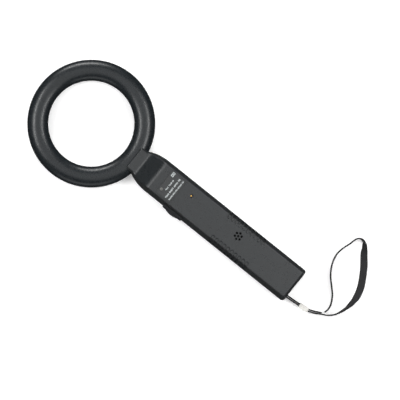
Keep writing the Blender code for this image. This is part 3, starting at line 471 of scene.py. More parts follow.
SLOT_FINISHES = {
    "case_plastic": CASE,
    "ring_plastic": RING,
    "label_plastic": LABEL,
    "lens_plastic": LENS,
    "led_resin": plain_coating("led_resin", (0.45, 0.03, 0.02), 0.15, specular=0.6),
    "switch_plastic": SWITCH,
    "brass": BRASS,
    "steel": STEEL,
    "coil_winding": plain_coating("coil_tape", (0.4, 0.17, 0.08), 0.4, grain=0.8 * MM, depth=0.05 * MM),
    "trimmer_plastic": plain_coating("trimmer_blue", (0.02, 0.06, 0.3), 0.35),
    "speaker_paper": plain_coating("cone_paper", (0.012, 0.012, 0.012), 0.85, depth=0.03 * MM),
    "ferrite": plain_coating("ferrite", (0.06, 0.06, 0.065), 0.5, metallic=0.3),
    "board_laminate": plain_coating("board_laminate", (0.02, 0.17, 0.06), 0.35, grain=1.2 * MM),
    "chip_resin": plain_coating("chip_resin", (0.02, 0.02, 0.022), 0.55),
    "capacitor_sleeve": plain_coating("capacitor_sleeve", (0.02, 0.03, 0.14), 0.3),
    "wire_grey": plain_coating("wire_grey", (0.13, 0.13, 0.14), 0.5),
    "wire_red": plain_coating("wire_red", (0.42, 0.02, 0.02), 0.45),
    "wire_black": plain_coating("wire_black", (0.015, 0.015, 0.015), 0.45),
    "battery_can": plain_coating("battery_can", (0.4, 0.4, 0.42), 0.3, metallic=0.6),
    "webbing": WEBBING,
    "tag_cloth": TAG,
}


def dress_cad_nodes():
    slots = {row["node"]: row["material_slot"] for row in frame["record"]["subparts"]}
    for node, obj in frame["nodes"].items():
        obj.data.materials.clear()
        obj.data.materials.append(SLOT_FINISHES[slots[node]])


# Camera: over the face, leaning a little to the switch's side, with the handle running down to the right.

VIEW_TURN = radians(38.7)
VIEW_CENTRE = (38.1 * MM, 8.7 * MM)
VIEW_WIDTH = 435.5 * MM
VIEW_DISTANCE = 3.2
VIEW_PLANE_Z = 26 * MM
VIEW_LEAN = radians(1.7)


def add_camera():
    data = bpy.data.cameras.new("camera")
    data.sensor_width = 36.0
    data.lens = data.sensor_width * VIEW_DISTANCE / VIEW_WIDTH
    camera = bpy.data.objects.new("camera", data)
    lean = Matrix.Rotation(VIEW_LEAN, 4, "X")
    turn = Matrix.Rotation(VIEW_TURN, 4, "Z")
    target = Matrix.Translation((*VIEW_CENTRE, VIEW_PLANE_Z))
    camera.matrix_world = target @ lean @ turn @ Matrix.Translation((0.0, 0.0, VIEW_DISTANCE))
    bpy.context.scene.collection.objects.link(camera)
    bpy.context.scene.camera = camera


# The wrist strap.

WEAVE_STEP = 0.3 * MM
WEAVE_PITCH = 1.15 * MM
WEAVE_DEPTH = 0.09 * MM
EDGE_ROUND = 0.35 * MM
WEBBING_COLUMNS = 26

TAG_STEP = 0.25 * MM
TAG_HALF_HEIGHT = 4.2 * MM
TAG_HALF_INSIDE = 2.2 * MM
TAG_THICKNESS = 0.45 * MM
TAG_CORNER = 0.5 * MM
TAG_WAVE = 0.12 * MM
TAG_WAVE_LENGTH = 3.1 * MM
# The tag's bars all start at one frame: the frame each ends at, with its lower and upper edge.
TAG_BARS_START = 6
TAG_BARS = ((20, 1.2 * MM, 2.1 * MM), (34, -0.3 * MM, 0.5 * MM), (28, -2.1 * MM, -1.2 * MM))
PRINT_LIFT = 0.015 * MM

STITCH_STEP = 0.5 * MM
STITCHES_FROM = 37.0 * MM
STITCHES_TO = 42.5 * MM
STITCH_ROWS = (-2.6 * MM, -0.9 * MM, 0.9 * MM, 2.6 * MM)
STITCH_REACH = 0.55 * MM
STITCH_RADIUS = 0.16 * MM
STITCH_SINK = 0.02 * MM


def smooth_route(points, step):
    """Samples a Catmull-Rom curve through the points, about one sample per step of length, with each lean."""
    ends = [points[0]] + list(points) + [points[-1]]
    samples = []
    for a, b, c, d in zip(ends, ends[1:], ends[2:], ends[3:]):
        pa, pb, pc, pd = (Vector(point[:3]) * MM for point in (a, b, c, d))
        count = max(1, round((pc - pb).length / step))
        for i in range(count):
            t = i / count
            curve = t * ((2 * pa - 5 * pb + 4 * pc - pd) + t * (3 * pb - pa - 3 * pc + pd))
            samples.append((pb + 0.5 * t * ((pc - pa) + curve), b[3] + (c[3] - b[3]) * smoothstep(0, 1, t)))
    samples.append((Vector(points[-1][:3]) * MM, points[-1][3]))
    return samples


def ribbon_frames(route, step):
    """Along the ribbon: its centre, the direction across its width, its face normal and the length so far."""
    places = smooth_route(route, step)
    frames = []
    travelled = 0.0
    for i, (place, lean) in enumerate(places):
        ahead = places[min(i + 1, len(places) - 1)][0] - places[max(i - 1, 0)][0]
        side = Vector((ahead.y, -ahead.x, 0.0)).normalized()
        across = cos(radians(lean)) * Vector((0.0, 0.0, 1.0)) + sin(radians(lean)) * side
        normal = across.cross(ahead).normalized()
        if i:
            travelled += (place - places[i - 1][0]).length
        frames.append((place, across, normal, travelled))
    return frames


def twill(along, across):
    """Height, from 0 to 1, of a diagonal twill with a plain selvedge."""
    rib = 0.5 + 0.5 * cos(2 * pi * (along + 1.3 * across) / WEAVE_PITCH)
    return rib**0.7


def add_webbing(name, route, length_from=0.0):
    """A ribbon of webbing with crowned, rounded edges; its weave is real relief, also kept as an attribute
    that places the cloth's painted shade and highlight.
    """
    half = STRAP_WIDTH / 2
    bm = bmesh.new()
    weave = bm.verts.layers.float.new("weave")
    rows = []
    for place, across, normal, travelled in ribbon_frames(route, WEAVE_STEP):
        row = []
        for face in (1, -1):
            for k in range(WEBBING_COLUMNS + 1):
                v = face * (-half + 2 * half * k / WEBBING_COLUMNS)
                inset = max(0.0, abs(v) - (half - EDGE_ROUND)) / EDGE_ROUND
                rib = twill(travelled + length_from, v * face)
                thick = (STRAP_THICKNESS / 2 - WEAVE_DEPTH * (1 - rib)) * sqrt(max(0.0, 1 - 0.85 * inset**2))
                vert = bm.verts.new(place + across * v + normal * face * thick)
                # The attribute is lower on the rounded edges, so the painted shade darkens them too.
                vert[weave] = rib * (1 - 0.6 * inset)
                row.append(vert)
        rows.append(row)
    bridge(bm, rows)
    cap_ends(bm, rows)
    return new_object(name, bm, WEBBING, smooth_angle=75)


def tag_flare(travelled):
    """How far the tag's cloth waves out from the strap."""
    return TAG_WAVE * sin(travelled / TAG_WAVE_LENGTH)


def add_tag():
    """The sewn-on tag: one piece of folded cloth round both layers, with a soft wave along it."""
    outside = []
    inside = []
    for place, across, normal, travelled in ribbon_frames(TAG_ROUTE, TAG_STEP):
        for store, grow in ((outside, TAG_THICKNESS + tag_flare(travelled)), (inside, 0.0)):
            low = (-TAG_HALF_HEIGHT, -TAG_HALF_INSIDE)
            high = (TAG_HALF_HEIGHT, TAG_HALF_INSIDE)
            section = rounded_rectangle(low, high, TAG_CORNER + grow, 4, -grow)
            store.append([place + across * h + normal * n for h, n in section])
    tag = new_object("strap_tag_cloth", skinned(outside + inside[::-1], closed=True), TAG, smooth_angle=60)
    even_normals(tag)
    return tag


def add_stitch(bm, start, end, lift):
    """A short bowed thread stitch from start to end, raised in the middle along lift."""
    steps = 6
    side = (end - start).normalized().cross(lift).normalized()
    loops = []
    for i in range(steps + 1):
        t = i / steps
        centre = start.lerp(end, t) + lift * STITCH_RADIUS * 1.3 * sin(pi * t)
        size = STITCH_RADIUS * (0.35 + 0.65 * max(0.0, sin(pi * t)) ** 0.5)
        circle = ellipse((0.0, 0.0), (size, size), 6)
        loops.append([centre + side * across + lift * up for across, up in circle])
    add_loops(bm, loops)


def add_stitches():
    """Rows of thread where the strap's end is sewn to its second layer, just before the fork."""
    bm = bmesh.new()
    for place, across, normal, travelled in ribbon_frames(STRAP_ROUTE, STITCH_STEP):
        if not STITCHES_FROM < travelled < STITCHES_TO or round(travelled / STITCH_STEP) % 3:
            continue
        outside = -normal if normal.dot(Vector((0.4, -1.0, 0.0))) < 0 else normal
        for row in STITCH_ROWS:
            centre = place + across * row + outside * (STRAP_THICKNESS / 2 - STITCH_SINK)
            reach = across * STITCH_REACH
            add_stitch(bm, centre - reach, centre + reach, outside)
    return new_object("strap_stitches", bm, THREAD, smooth_angle=80)


def add_tag_print():
    """Plain grey bars on the tag's outer faces, in place of print."""
    frames = ribbon_frames(TAG_ROUTE, TAG_STEP)
    bm = bmesh.new()
    for face in (1, -1):
        for last, low, high in TAG_BARS:
            rows = []
            for place, across, normal, travelled in frames[TAG_BARS_START:last]:
                surface = TAG_HALF_INSIDE + TAG_THICKNESS + tag_flare(travelled)
                corners = ((low, -PRINT_LIFT), (high, -PRINT_LIFT), (high, PRINT_LIFT), (low, PRINT_LIFT))
                rows.append([place + across * h + normal * face * (surface + out) for h, out in corners])
            add_loops(bm, rows)
    return new_object("strap_tag_print", bm, TAG_INK)


def add_strap():
    strap = add_webbing("wrist_strap_webbing", STRAP_ROUTE)
    tail = add_webbing("strap_tail_webbing", TAIL_ROUTE, 0.4 * MM)
    tag = add_tag()
    stitches = add_stitches()
    tag_print = add_tag_print()
    stand_in(strap, "wrist_strap")
    stand_in(tail, "strap_tail")
    stand_in(tag, "strap_tag")
    for piece, slot in ((stitches, "webbing"), (tag_print, "tag_cloth")):
        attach(piece, "case")


# The case's outline and face height, as the part draws them, with finer steps.

STATIONS_START = 8 * MM
STATION_STEP = 9.8 * MM
CORNER_SHRINK = 0.6
END_CORNER_LEAST = 0.9 * MM
PAD_CORNER_LEAST = 0.8 * MM


def half_width(x):
    """Plan half width: level pad, a swelling neck, then the handle's full width."""
    if x <= NECK_START_X:
        return PAD_HALF_WIDTH
    if x >= NECK_END_X:
        return HANDLE_HALF_WIDTH
    span = NECK_END_X - NECK_START_X
    t = (x - NECK_START_X) / span
    start = (2 * t**3 - 3 * t**2 + 1) * PAD_HALF_WIDTH
    lead = (t**3 - 2 * t**2 + t) * span * NECK_START_SLOPE
    return start + lead + (3 * t**2 - 2 * t**3) * HANDLE_HALF_WIDTH


def crest_start():
    return FACE_X - CREST_RADIUS * sin(RAMP_ANGLE)


def foot_end():
    return crest_start() - RAMP_RUN


def foot_start():
    return foot_end() - FOOT_RADIUS * sin(RAMP_ANGLE)


def front_height(x):
    """Height of the front face: level handle, rounded crest, ramp, hollow foot, then the level pad."""
    if x >= FACE_X:
        return HANDLE_HEIGHT
    if x >= crest_start():
        return HANDLE_HEIGHT - CREST_RADIUS + sqrt(CREST_RADIUS**2 - (FACE_X - x) ** 2)
    crest_z = HANDLE_HEIGHT - CREST_RADIUS * (1 - cos(RAMP_ANGLE))
    if x >= foot_end():
        return crest_z - (crest_start() - x) * tan(RAMP_ANGLE)
    pad_z = crest_z - RAMP_RUN * tan(RAMP_ANGLE) - FOOT_RADIUS * (1 - cos(RAMP_ANGLE))
    if x >= foot_start():
        return pad_z + FOOT_RADIUS - sqrt(FOOT_RADIUS**2 - (x - foot_start()) ** 2)
    return pad_z


def pad_edge(turn):
    """The pad's edge, as (inward, down): a leaning wall, then a round from the wall's lean to level."""
    start = (1 - sin(PAD_WALL_LEAN)) * PAD_ROUND
    if turn < PAD_WALL_LEAN:
        down = PAD_WALL_DROP + (start - PAD_WALL_DROP) * turn / PAD_WALL_LEAN
        return (PAD_WALL_DROP - down) * tan(PAD_WALL_LEAN), down
    wall = (PAD_WALL_DROP - start) * tan(PAD_WALL_LEAN)
    return wall + (cos(PAD_WALL_LEAN) - cos(turn)) * PAD_ROUND, (1 - sin(turn)) * PAD_ROUND


def edge_point(x, turn):
    """The front's edge at x, as (inward, down). It changes along the ramp from the handle's to the pad's."""
    t = min(1.0, max(0.0, (FACE_X - x) / (FACE_X - foot_end())))
    inward, down = pad_edge(turn)
    return (
        (1 - t) * FACE_EDGE * (1 - cos(turn)) + t * inward,
        (1 - t) * FACE_EDGE * (1 - sin(turn)) + t * down,
    )


def face_edge(x):
    return edge_point(x, pi / 2)[0]


def edge_drop(x):
    return edge_point(x, 0.0)[1]


def stations():
    """X places of the section lines along a long side, from the handle's end to the pad."""
    plain = [HANDLE_END_X - STATIONS_START - STATION_STEP * k for k in range(19)]
    crest = [FACE_X - CREST_RADIUS * sin(RAMP_ANGLE * k / 14) for k in range(15)]
    ramp = [crest_start() - RAMP_RUN * k / 9 for k in range(1, 9)]
    foot = [foot_start() + FOOT_RADIUS * sin(RAMP_ANGLE * k / 9) for k in range(9, -1, -1)]
    pad = [foot_start() + (PAD_X - foot_start()) * k / 6 for k in range(1, 4)]
    return [x for x in plain if x > FACE_X + STATION_STEP / 2] + crest + ramp + foot + pad


def outline(inset, height):
    """A closed loop round the case. inset(x) is how far it lies inside the parting outline."""
    end_inset = inset(HANDLE_END_X)
    end_x = HANDLE_END_X - END_DRAFT_SHARE * end_inset
    corner = max(END_CORNER - CORNER_SHRINK * end_inset, END_CORNER_LEAST)
    end_y = HANDLE_HALF_WIDTH - end_inset
    side = arc_points((end_x - corner, end_y - corner), (corner, corner), 0.0, pi / 2, 10)
    side += [(x, half_width(x) - inset(x)) for x in stations()]
    pad_inset = inset(PAD_X)
    pad_x = PAD_X + PAD_DRAFT_SHARE * pad_inset
    corner = max(PAD_CORNER - CORNER_SHRINK * pad_inset, PAD_CORNER_LEAST)
    pad_y = PAD_HALF_WIDTH - pad_inset
    side += arc_points((pad_x + corner, pad_y - corner), (corner, corner), pi / 2, pi, 8)
    loop = side + [(x, -y) for x, y in reversed(side)]
    return [(x, y, height(x)) for x, y in loop]


def add_skin(bm, loops):
    """Skins point loops and closes the last with faces that run straight across the case."""
    rows = [[bm.verts.new(point) for point in loop] for loop in loops]
    bridge(bm, rows)
    top = rows[-1]
    last = len(top) - 1
    for i in range(last // 2):
        bm.faces.new((top[i], top[i + 1], top[last - 1 - i], top[last - i]))
    return rows[0]


def tray(outer, inner):
    """Two skins joined by a rim along their first loops."""
    bm = bmesh.new()
    bridge(bm, (add_skin(bm, outer), add_skin(bm, inner)))
    return bm


RIM_ROUND = 0.3 * MM
INNER_EDGE = 0.4 * MM
EDGE_FLAT = 0.7 * MM
WEAR_MARGIN = 0.05 * MM


def rim_loops(side):
    """The rounded rim at the parting line, from the closed gap out to the case's side."""
    loops = []
    for away, inward in quarter_round(RIM_ROUND, 3):
        loops.append(outline(lambda x: inward, lambda x: PARTING_Z + side * (SEAM / 4 + away)))
    return loops


def side_rise(x):
    """Height of the front's drafted side, from the parting line to where its edge starts to turn."""
    return front_height(x) - edge_drop(x) - PARTING_Z


def front_skins():
    outer = rim_loops(1)
    for share in (0.3, 0.65, 0.9):
        outer.append(outline(
            lambda x: DRAFT * side_rise(x) * share,
            lambda x: PARTING_Z + side_rise(x) * share,
        ))
    for turn in range(0, 91, 15):
        outer.append(outline(
            lambda x: DRAFT * side_rise(x) + edge_point(x, radians(turn))[0],
            lambda x: front_height(x) - edge_point(x, radians(turn))[1],
        ))
    outer.append(outline(lambda x: DRAFT * side_rise(x) + face_edge(x) + EDGE_FLAT, front_height))
    inner = [outline(lambda x: WALL, lambda x: PARTING_Z + SEAM / 4)]
    for inward, down in quarter_round(INNER_EDGE, 2):
        inner.append(outline(
            lambda x: WALL + DRAFT * side_rise(x) + inward,
            lambda x: front_height(x) - WALL - down,
        ))
    return outer, inner


def rear_skins():
    drafted = DRAFT * (PARTING_Z - BACK_EDGE) / 2
    outer = rim_loops(-1)
    outer.append(outline(lambda x: drafted / 2, lambda x: (PARTING_Z + BACK_EDGE) / 2))
    for inward, up in quarter_round(BACK_EDGE, 6):
        outer.append(outline(lambda x: drafted + inward, lambda x: up))
    outer.append(outline(lambda x: drafted + BACK_EDGE + EDGE_FLAT, lambda x: 0.0))
    inner = [outline(lambda x: WALL, lambda x: PARTING_Z - SEAM / 4)]
    inner.append(outline(lambda x: WALL + drafted, lambda x: WALL + INNER_EDGE))
    inner.append(outline(lambda x: WALL + drafted + INNER_EDGE, lambda x: WALL))
    return outer, inner


def inside_outline(x, y):
    """How far a point lies inside the parting outline, seen from above."""
    return min(half_width(x) - abs(y), (HANDLE_END_X - x) / END_DRAFT_SHARE, (x - PAD_X) / PAD_DRAFT_SHARE)


def front_wear(place):
    """Wear from 0 to 1: greatest halfway round the front's edge."""
    x, y, z = place
    turn = (front_height(x) - z) / edge_drop(x)
    if inside_outline(x, y) > DRAFT * side_rise(x) + face_edge(x) + WEAR_MARGIN:
        return 0.0
    return sin(pi * min(1.0, max(0.0, turn)))


def rear_wear(place):
    x, y, z = place
    if inside_outline(x, y) > DRAFT * PARTING_Z + BACK_EDGE + WEAR_MARGIN:
        return 0.0
    return sin(pi * min(1.0, max(0.0, z / BACK_EDGE)))


def mark_wear(obj, wear):
    """Writes the wear at each point as the attribute that the plastic's finish reads."""
    mesh = obj.data
    attribute = mesh.attributes.new("edge", "FLOAT", "POINT")
    attribute.data.foreach_set("value", [wear(vert.co) for vert in mesh.vertices])


CLAMP_GAP = 0.15 * MM
CLAMP_ANGLE = radians(24)
CUTTER_REACH = 2 * MM
LABEL_CORNER = 0.7 * MM
NOTCH_CLEARANCE = 0.008 * MM
NOTCH_ABOVE = 1.2 * MM
SLEEVE_GAP = 0.2 * MM
LENS_GAP = 0.2 * MM


def ring_cutter():
    """The stretch of the ring's tube inside the neck, grown by a fitting gap."""
    radii = (RING_HALF_WIDTH + CLAMP_GAP, RING_HALF_DEPTH + CLAMP_GAP)
    profile = ellipse((RING_RADIUS, PARTING_Z), radii, 48)
    steps = 32
    loops = []
    for step in range(steps + 1):
        angle = -CLAMP_ANGLE + 2 * CLAMP_ANGLE * step / steps
        loops.append([(RING_X + r * cos(angle), r * sin(angle), z) for r, z in profile])
    return skinned(loops)


def add_flared_hole(bm, centre, radius, low, surface, flare, steps=32):
    """A round cutter whose mouth widens in a small quarter arc up to the surface."""
    profile = [(radius, low)]
    profile += [(radius + out, surface - down) for out, down in quarter_round(flare, 5)]
    profile.append((radius + flare, surface + CUTTER_REACH))
    add_turned(bm, centre, profile, steps)


def add_flared_pocket(bm, low, high, corner, floor, surface, flare):
    """A pocket cutter with rounded plan corners, its mouth widened in a small quarter arc."""
    direction = 1 if surface > floor else -1
    loops = [at_height(rounded_rectangle(low, high, corner), floor)]
    for out, down in quarter_round(flare, 5):
        plan = rounded_rectangle(low, high, corner + out, inset=-out)
        loops.append(at_height(plan, surface - direction * down))
    loops.append([(x, y, surface + direction * CUTTER_REACH) for x, y, z in loops[-1]])
    add_loops(bm, loops)


def speaker_hole_places():
    places = [SPEAKER_AT]
    radii = (SPEAKER_CIRCLE, SPEAKER_CIRCLE)
    return places + arc_points(SPEAKER_AT, radii, pi / 2, pi / 2 + 2 * pi, SPEAKER_HOLES)[:-1]


def face_cutter():
    """The label's pocket, the trimmer's hole and the speaker's holes."""
    bm = bmesh.new()
    low = (LABEL_X[0], -LABEL_HALF_WIDTH)
    high = (LABEL_X[1], LABEL_HALF_WIDTH)
    add_flared_pocket(bm, low, high, LABEL_CORNER, HANDLE_HEIGHT - LABEL_DEPTH, HANDLE_HEIGHT, 0.12 * MM)
    inside = HANDLE_HEIGHT - 2 * WALL
    add_flared_hole(bm, TRIMMER_HOLE_AT, TRIMMER_HOLE, inside, HANDLE_HEIGHT, 0.25 * MM, 40)
    for place in speaker_hole_places():
        add_flared_hole(bm, place, SPEAKER_HOLE, inside, HANDLE_HEIGHT, 0.1 * MM)
    return bm


def notch_path(side):
    """Across the face, over its edge and down the side: place, outward direction, distance from the tip."""
    edge_y = HANDLE_HALF_WIDTH - DRAFT * (HANDLE_HEIGHT - FACE_EDGE - PARTING_Z)
    start = NOTCH_INNER_Y - NOTCH_SOFTNESS
    places = []
    for k in range(17):
        y = start + (edge_y - FACE_EDGE - start) * k / 17
        places.append((y, HANDLE_HEIGHT, 0.0, 1.0))
    for turn in range(90, -1, -15):
        a = radians(turn)
        y = edge_y - FACE_EDGE * (1 - cos(a))
        places.append((y, HANDLE_HEIGHT - FACE_EDGE * (1 - sin(a)), cos(a), sin(a)))
    top = HANDLE_HEIGHT - FACE_EDGE
    foot = NOTCH_FOOT_Z - NOTCH_SOFTNESS
    for k in range(1, 17):
        z = top + (foot - top) * k / 16
        places.append((HANDLE_HALF_WIDTH - DRAFT * (z - PARTING_Z), z, 1.0, DRAFT))
    path = []
    travelled = -NOTCH_SOFTNESS
    for (y, z, out_y, out_z), before in zip(places, places[:1] + places):
        travelled += hypot(y - before[0], z - before[1])
        path.append((side * y, z, side * out_y, out_z, travelled))
    return path


def add_notch(bm, x, side):
    """A soft-edged scallop with round ends, drawn as the solid that is cut away."""
    path = notch_path(side)
    length = path[-1][4] - NOTCH_SOFTNESS
    reach = NOTCH_RADIUS + NOTCH_SOFTNESS
    columns = 16
    loops = []
    for y, z, out_y, out_z, t in path:
        middle = min(max(t, NOTCH_RADIUS), length - NOTCH_RADIUS)
        loop = []
        for k in range(columns + 1):
            u = -reach + 2 * reach * k / columns
            inside = NOTCH_RADIUS - hypot(u, t - middle)
            depth = NOTCH_DEPTH * smoothstep(-NOTCH_SOFTNESS, NOTCH_SOFTNESS, inside) - NOTCH_CLEARANCE
            loop.append((x + u, y - out_y * depth, z - out_z * depth))
        for u in (reach, -reach):
            loop.append((x + u, y + out_y * NOTCH_ABOVE, z + out_z * NOTCH_ABOVE))
        loops.append(loop)
    add_loops(bm, loops)


def notch_cutter():
    bm = bmesh.new()
    for k in range(NOTCH_COUNT):
        for side in (1, -1):
            add_notch(bm, NOTCH_FIRST_X + NOTCH_PITCH * k, side)
    return bm


def switch_place(x, inward, up):
    """A point in the frame, from the switch's own x, depth behind the side and height along it."""
    side_y = -(HANDLE_HALF_WIDTH - DRAFT * (SWITCH_Z - PARTING_Z))
    turned = Matrix.Rotation(-atan(DRAFT), 3, "X") @ Vector((x, inward, up))
    return Vector((SWITCH_X, side_y, SWITCH_Z)) + turned


def switch_cutter():
    half_x = SLEEVE_HALF[0] + SLEEVE_GAP
    half_z = SLEEVE_HALF[1] + SLEEVE_GAP
    corners = [(-half_x, -half_z), (half_x, -half_z), (half_x, half_z), (-half_x, half_z)]
    reaches = (2 * WALL, -2 * WALL)
    return skinned([[switch_place(x, inward, z) for x, z in corners] for inward in reaches])


def lens_cutter():
    bm = bmesh.new()
    radius = LENS_RADIUS + LENS_GAP
    add_turned(bm, LED_AT, ((radius, HANDLE_HEIGHT - 2 * WALL), (radius, HANDLE_HEIGHT + CUTTER_REACH)), 32)
    return bm


def add_front_shell():
    shell = new_object("front_case", tray(*front_skins()), CASE)
    for cutter in (ring_cutter, face_cutter, notch_cutter, lens_cutter, switch_cutter):
        cut(shell, cutter())
    mark_wear(shell, front_wear)
    resmooth(shell, 38)
    stand_in(shell, "front_shell")


SCREW_PAIRS = ((-24.0 * MM, 11.5 * MM), (107.0 * MM, 13.3 * MM))
SCREW_PLACES = [(x, side * y) for x, y in SCREW_PAIRS for side in (1, -1)]
SCREW_SEAT_Z = 4.0 * MM
SCREW_HEAD = 2.7 * MM
SCREW_HOLE = 1.6 * MM
SEAT_EASE = 0.3 * MM
POST_RADIUS = 4.3 * MM
RIB_HALF = 0.8 * MM
RIB_TOP = 9.0 * MM
DOOR_OPENING = ((112.4 * MM, -14.0 * MM), (170.8 * MM, 14.0 * MM))
DOOR_CORNER = 0.8 * MM
SLOT_Y = -13.6 * MM
SLOT_HALF = 2.0 * MM
SLOT_FOOT_Z = 2.5 * MM
SLOT_MOUTH = 0.5 * MM


def rear_posts():
    bm = bmesh.new()
    ease = POST_RADIUS - 0.3 * MM
    for place in SCREW_PLACES:
        profile = ((POST_RADIUS, WALL / 2), (POST_RADIUS, PARTING_Z - 0.4 * MM), (ease, PARTING_Z - 0.1 * MM))
        add_turned(bm, place, profile)
    return bm


def rear_rib():
    """The rib between the two rear posts."""
    bm = bmesh.new()
    x, y = SCREW_PLACES[2]
    add_box(bm, (x - RIB_HALF, -y, WALL / 2), (x + RIB_HALF, y, RIB_TOP))
    return bm


def rear_cutter():
    """The door's opening with eased edges, and the screws' stepped holes."""
    bm = bmesh.new()
    add_flared_pocket(bm, *DOOR_OPENING, DOOR_CORNER, 2 * WALL, 0.0, 0.25 * MM)
    seat = SCREW_HEAD + 0.5 * MM
    for place in SCREW_PLACES:
        profile = [(seat + SEAT_EASE, -WALL)]
        profile += [(seat + out, up) for out, up in reversed(quarter_round(SEAT_EASE, 5))]
        profile += [(seat, SCREW_SEAT_Z), (SCREW_HOLE, SCREW_SEAT_Z), (SCREW_HOLE, PARTING_Z + WALL)]
        add_turned(bm, place, profile)
    return bm


def slot_section(x, out):
    """The strap slot's section at x, grown by out: open above, with a round foot."""
    half = SLOT_HALF + out
    points = [(SLOT_Y + half, PARTING_Z + CUTTER_REACH), (SLOT_Y - half, PARTING_Z + CUTTER_REACH)]
    points += arc_points((SLOT_Y, SLOT_FOOT_Z - out + SLOT_HALF), (half, half), pi, 2 * pi, 12)
    return [(x, y, z) for y, z in points]


def slot_cutter():
    """The strap's slot in the end wall, open to the parting line, with a rounded foot and eased mouth."""
    places = [(3.5 * MM, 0.0), (0.8 * MM, 0.0)]
    places += [(behind + 0.15 * MM, out) for out, behind in quarter_round(SLOT_MOUTH, 5)]
    places.append((-CUTTER_REACH, SLOT_MOUTH))
    return skinned([slot_section(HANDLE_END_X - behind, out) for behind, out in places])


def add_rear_shell():
    shell = new_object("rear_case", tray(*rear_skins()), CASE)
    cut(shell, rear_posts(), "UNION")
    cut(shell, rear_rib(), "UNION")
    for cutter in (ring_cutter, rear_cutter, slot_cutter):
        cut(shell, cutter())
    mark_wear(shell, rear_wear)
    resmooth(shell, 38)
    stand_in(shell, "rear_shell")


# The ring head.

RING_TURNS = 216
RING_LIP = 0.35 * MM
LEAD_HOLE = 2.2 * MM


def ring_profile(side):
    """A C section with a small round at the parting line; side is 1 for the front and -1 for the rear."""
    centre = (RING_RADIUS, SEAM / 4)
    dome = arc_points(centre, (RING_HALF_WIDTH, RING_HALF_DEPTH), 0.0, pi, 36)
    outer_radius = RING_RADIUS + RING_HALF_WIDTH
    lip = [(outer_radius - RING_LIP, SEAM / 4), (outer_radius - RING_LIP * 0.3, SEAM / 4 + RING_LIP * 0.3)]
    far_lip = [(2 * RING_RADIUS - r, z) for r, z in reversed(lip)]
    inner = arc_points(centre, (RING_HALF_WIDTH - WALL, RING_HALF_DEPTH - WALL), pi, 0.0, 10)
    return [(r, PARTING_Z + side * z) for r, z in lip + dome[1:-1] + far_lip + inner]


def lead_hole_cutter():
    """The coil lead's hole from the ring's tube into the neck."""
    outside = RING_X + RING_RADIUS + RING_HALF_WIDTH
    section = ellipse((0.0, PARTING_Z), (LEAD_HOLE, LEAD_HOLE), 24)
    return skinned([[(x, y, z) for y, z in section] for x in (outside - 2 * WALL, outside + WALL)])


def add_ring():
    for name, side, node in (("ring_front", 1, "ring_front_shell"), ("ring_rear", -1, "ring_rear_shell")):
        profile = ring_profile(side)
        loops = []
        for step in range(RING_TURNS):
            a = 2 * pi * step / RING_TURNS
            loops.append([(RING_X + r * cos(a), r * sin(a), z) for r, z in profile])
        shell = new_object(name, skinned(loops, closed=True), RING)
        cut(shell, lead_hole_cutter())
        smooth(shell, 50)
        stand_in(shell, node)


# The label, lens and trimmer.

LABEL_TOP = HANDLE_HEIGHT + 0.03 * MM
LABEL_GAP = 0.42 * MM
LABEL_EDGE = ((0.0, 0.45 * MM), (0.0, 0.1 * MM), (0.03 * MM, 0.03 * MM), (0.1 * MM, 0.0))
LENS_SHOULDER = 0.15 * MM
ROTOR_SLOT_HALF = 0.25 * MM
ROTOR_SLOT_DEPTH = 0.7 * MM

# The printed marks, in millimetres. A column has its x, first and last y, width, pitch and gap interval.
PRINT_BOXES = ((-1.7, 9.2), (-1.7, 11.9))
BOX_WIDTH = 3.0
BOX_LENGTH = 2.1
BOX_LINE = 0.5
PRINT_COLUMNS = (
    (2.4, -6.5, 7.1, 1.5, 0.92, 7), (7.3, -13.0, 12.7, 1.9, 0.98, 8), (11.7, -13.0, 13.2, 1.6, 0.74, 11),
)


def add_label():
    low = (LABEL_X[0], -LABEL_HALF_WIDTH)
    high = (LABEL_X[1], LABEL_HALF_WIDTH)
    loops = []
    for inward, down in LABEL_EDGE:
        plan = rounded_rectangle(low, high, 0.6 * MM, inset=LABEL_GAP + inward)
        loops.append(at_height(plan, LABEL_TOP - down))
    label = new_object("label", skinned(loops), LABEL)
    hole = bmesh.new()
    add_flared_hole(hole, LED_AT, LENS_RADIUS + 0.12 * MM, HANDLE_HEIGHT - WALL, LABEL_TOP, 0.08 * MM)
    cut(label, hole)
    resmooth(label)
    stand_in(label, "label_plate")


def add_dash(bm, x, y, width, length):
    """A printed dash, in millimetres: x is the middle of its width, y where its length starts."""
    low = ((x - width / 2) * MM, y * MM)
    high = ((x + width / 2) * MM, (y + length) * MM)
    add_prism(bm, rounded_rectangle(low, high, 0.12 * MM, 2), LABEL_TOP - 0.05 * MM, LABEL_TOP + 0.02 * MM)


def add_label_bars():
    """Plain printed dashes in three columns across the plate and two plain boxes, in place of lettering."""
    bm = bmesh.new()
    for x, y in PRINT_BOXES:
        for end in (0.0, BOX_LENGTH - BOX_LINE):
            add_dash(bm, x, y + end, BOX_WIDTH, BOX_LINE)
        for side in (-1, 1):
            middle = x + side * (BOX_WIDTH - BOX_LINE) / 2
            add_dash(bm, middle, y + BOX_LINE, BOX_LINE, BOX_LENGTH - 2 * BOX_LINE)
    for x, start, stop, width, pitch, every in PRINT_COLUMNS:
        for k in range(round((stop - start) / pitch)):
            if k % every == every - 2:
                continue
            reach = width * (1.0 if k % 3 else 0.72)
            ragged = (width - reach) / 2 * (1 if k % 2 else -1)
            add_dash(bm, x + ragged, start + pitch * k, reach, pitch * 0.45)
    bars = new_object("label_print", bm, INK)
    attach(bars, "case")


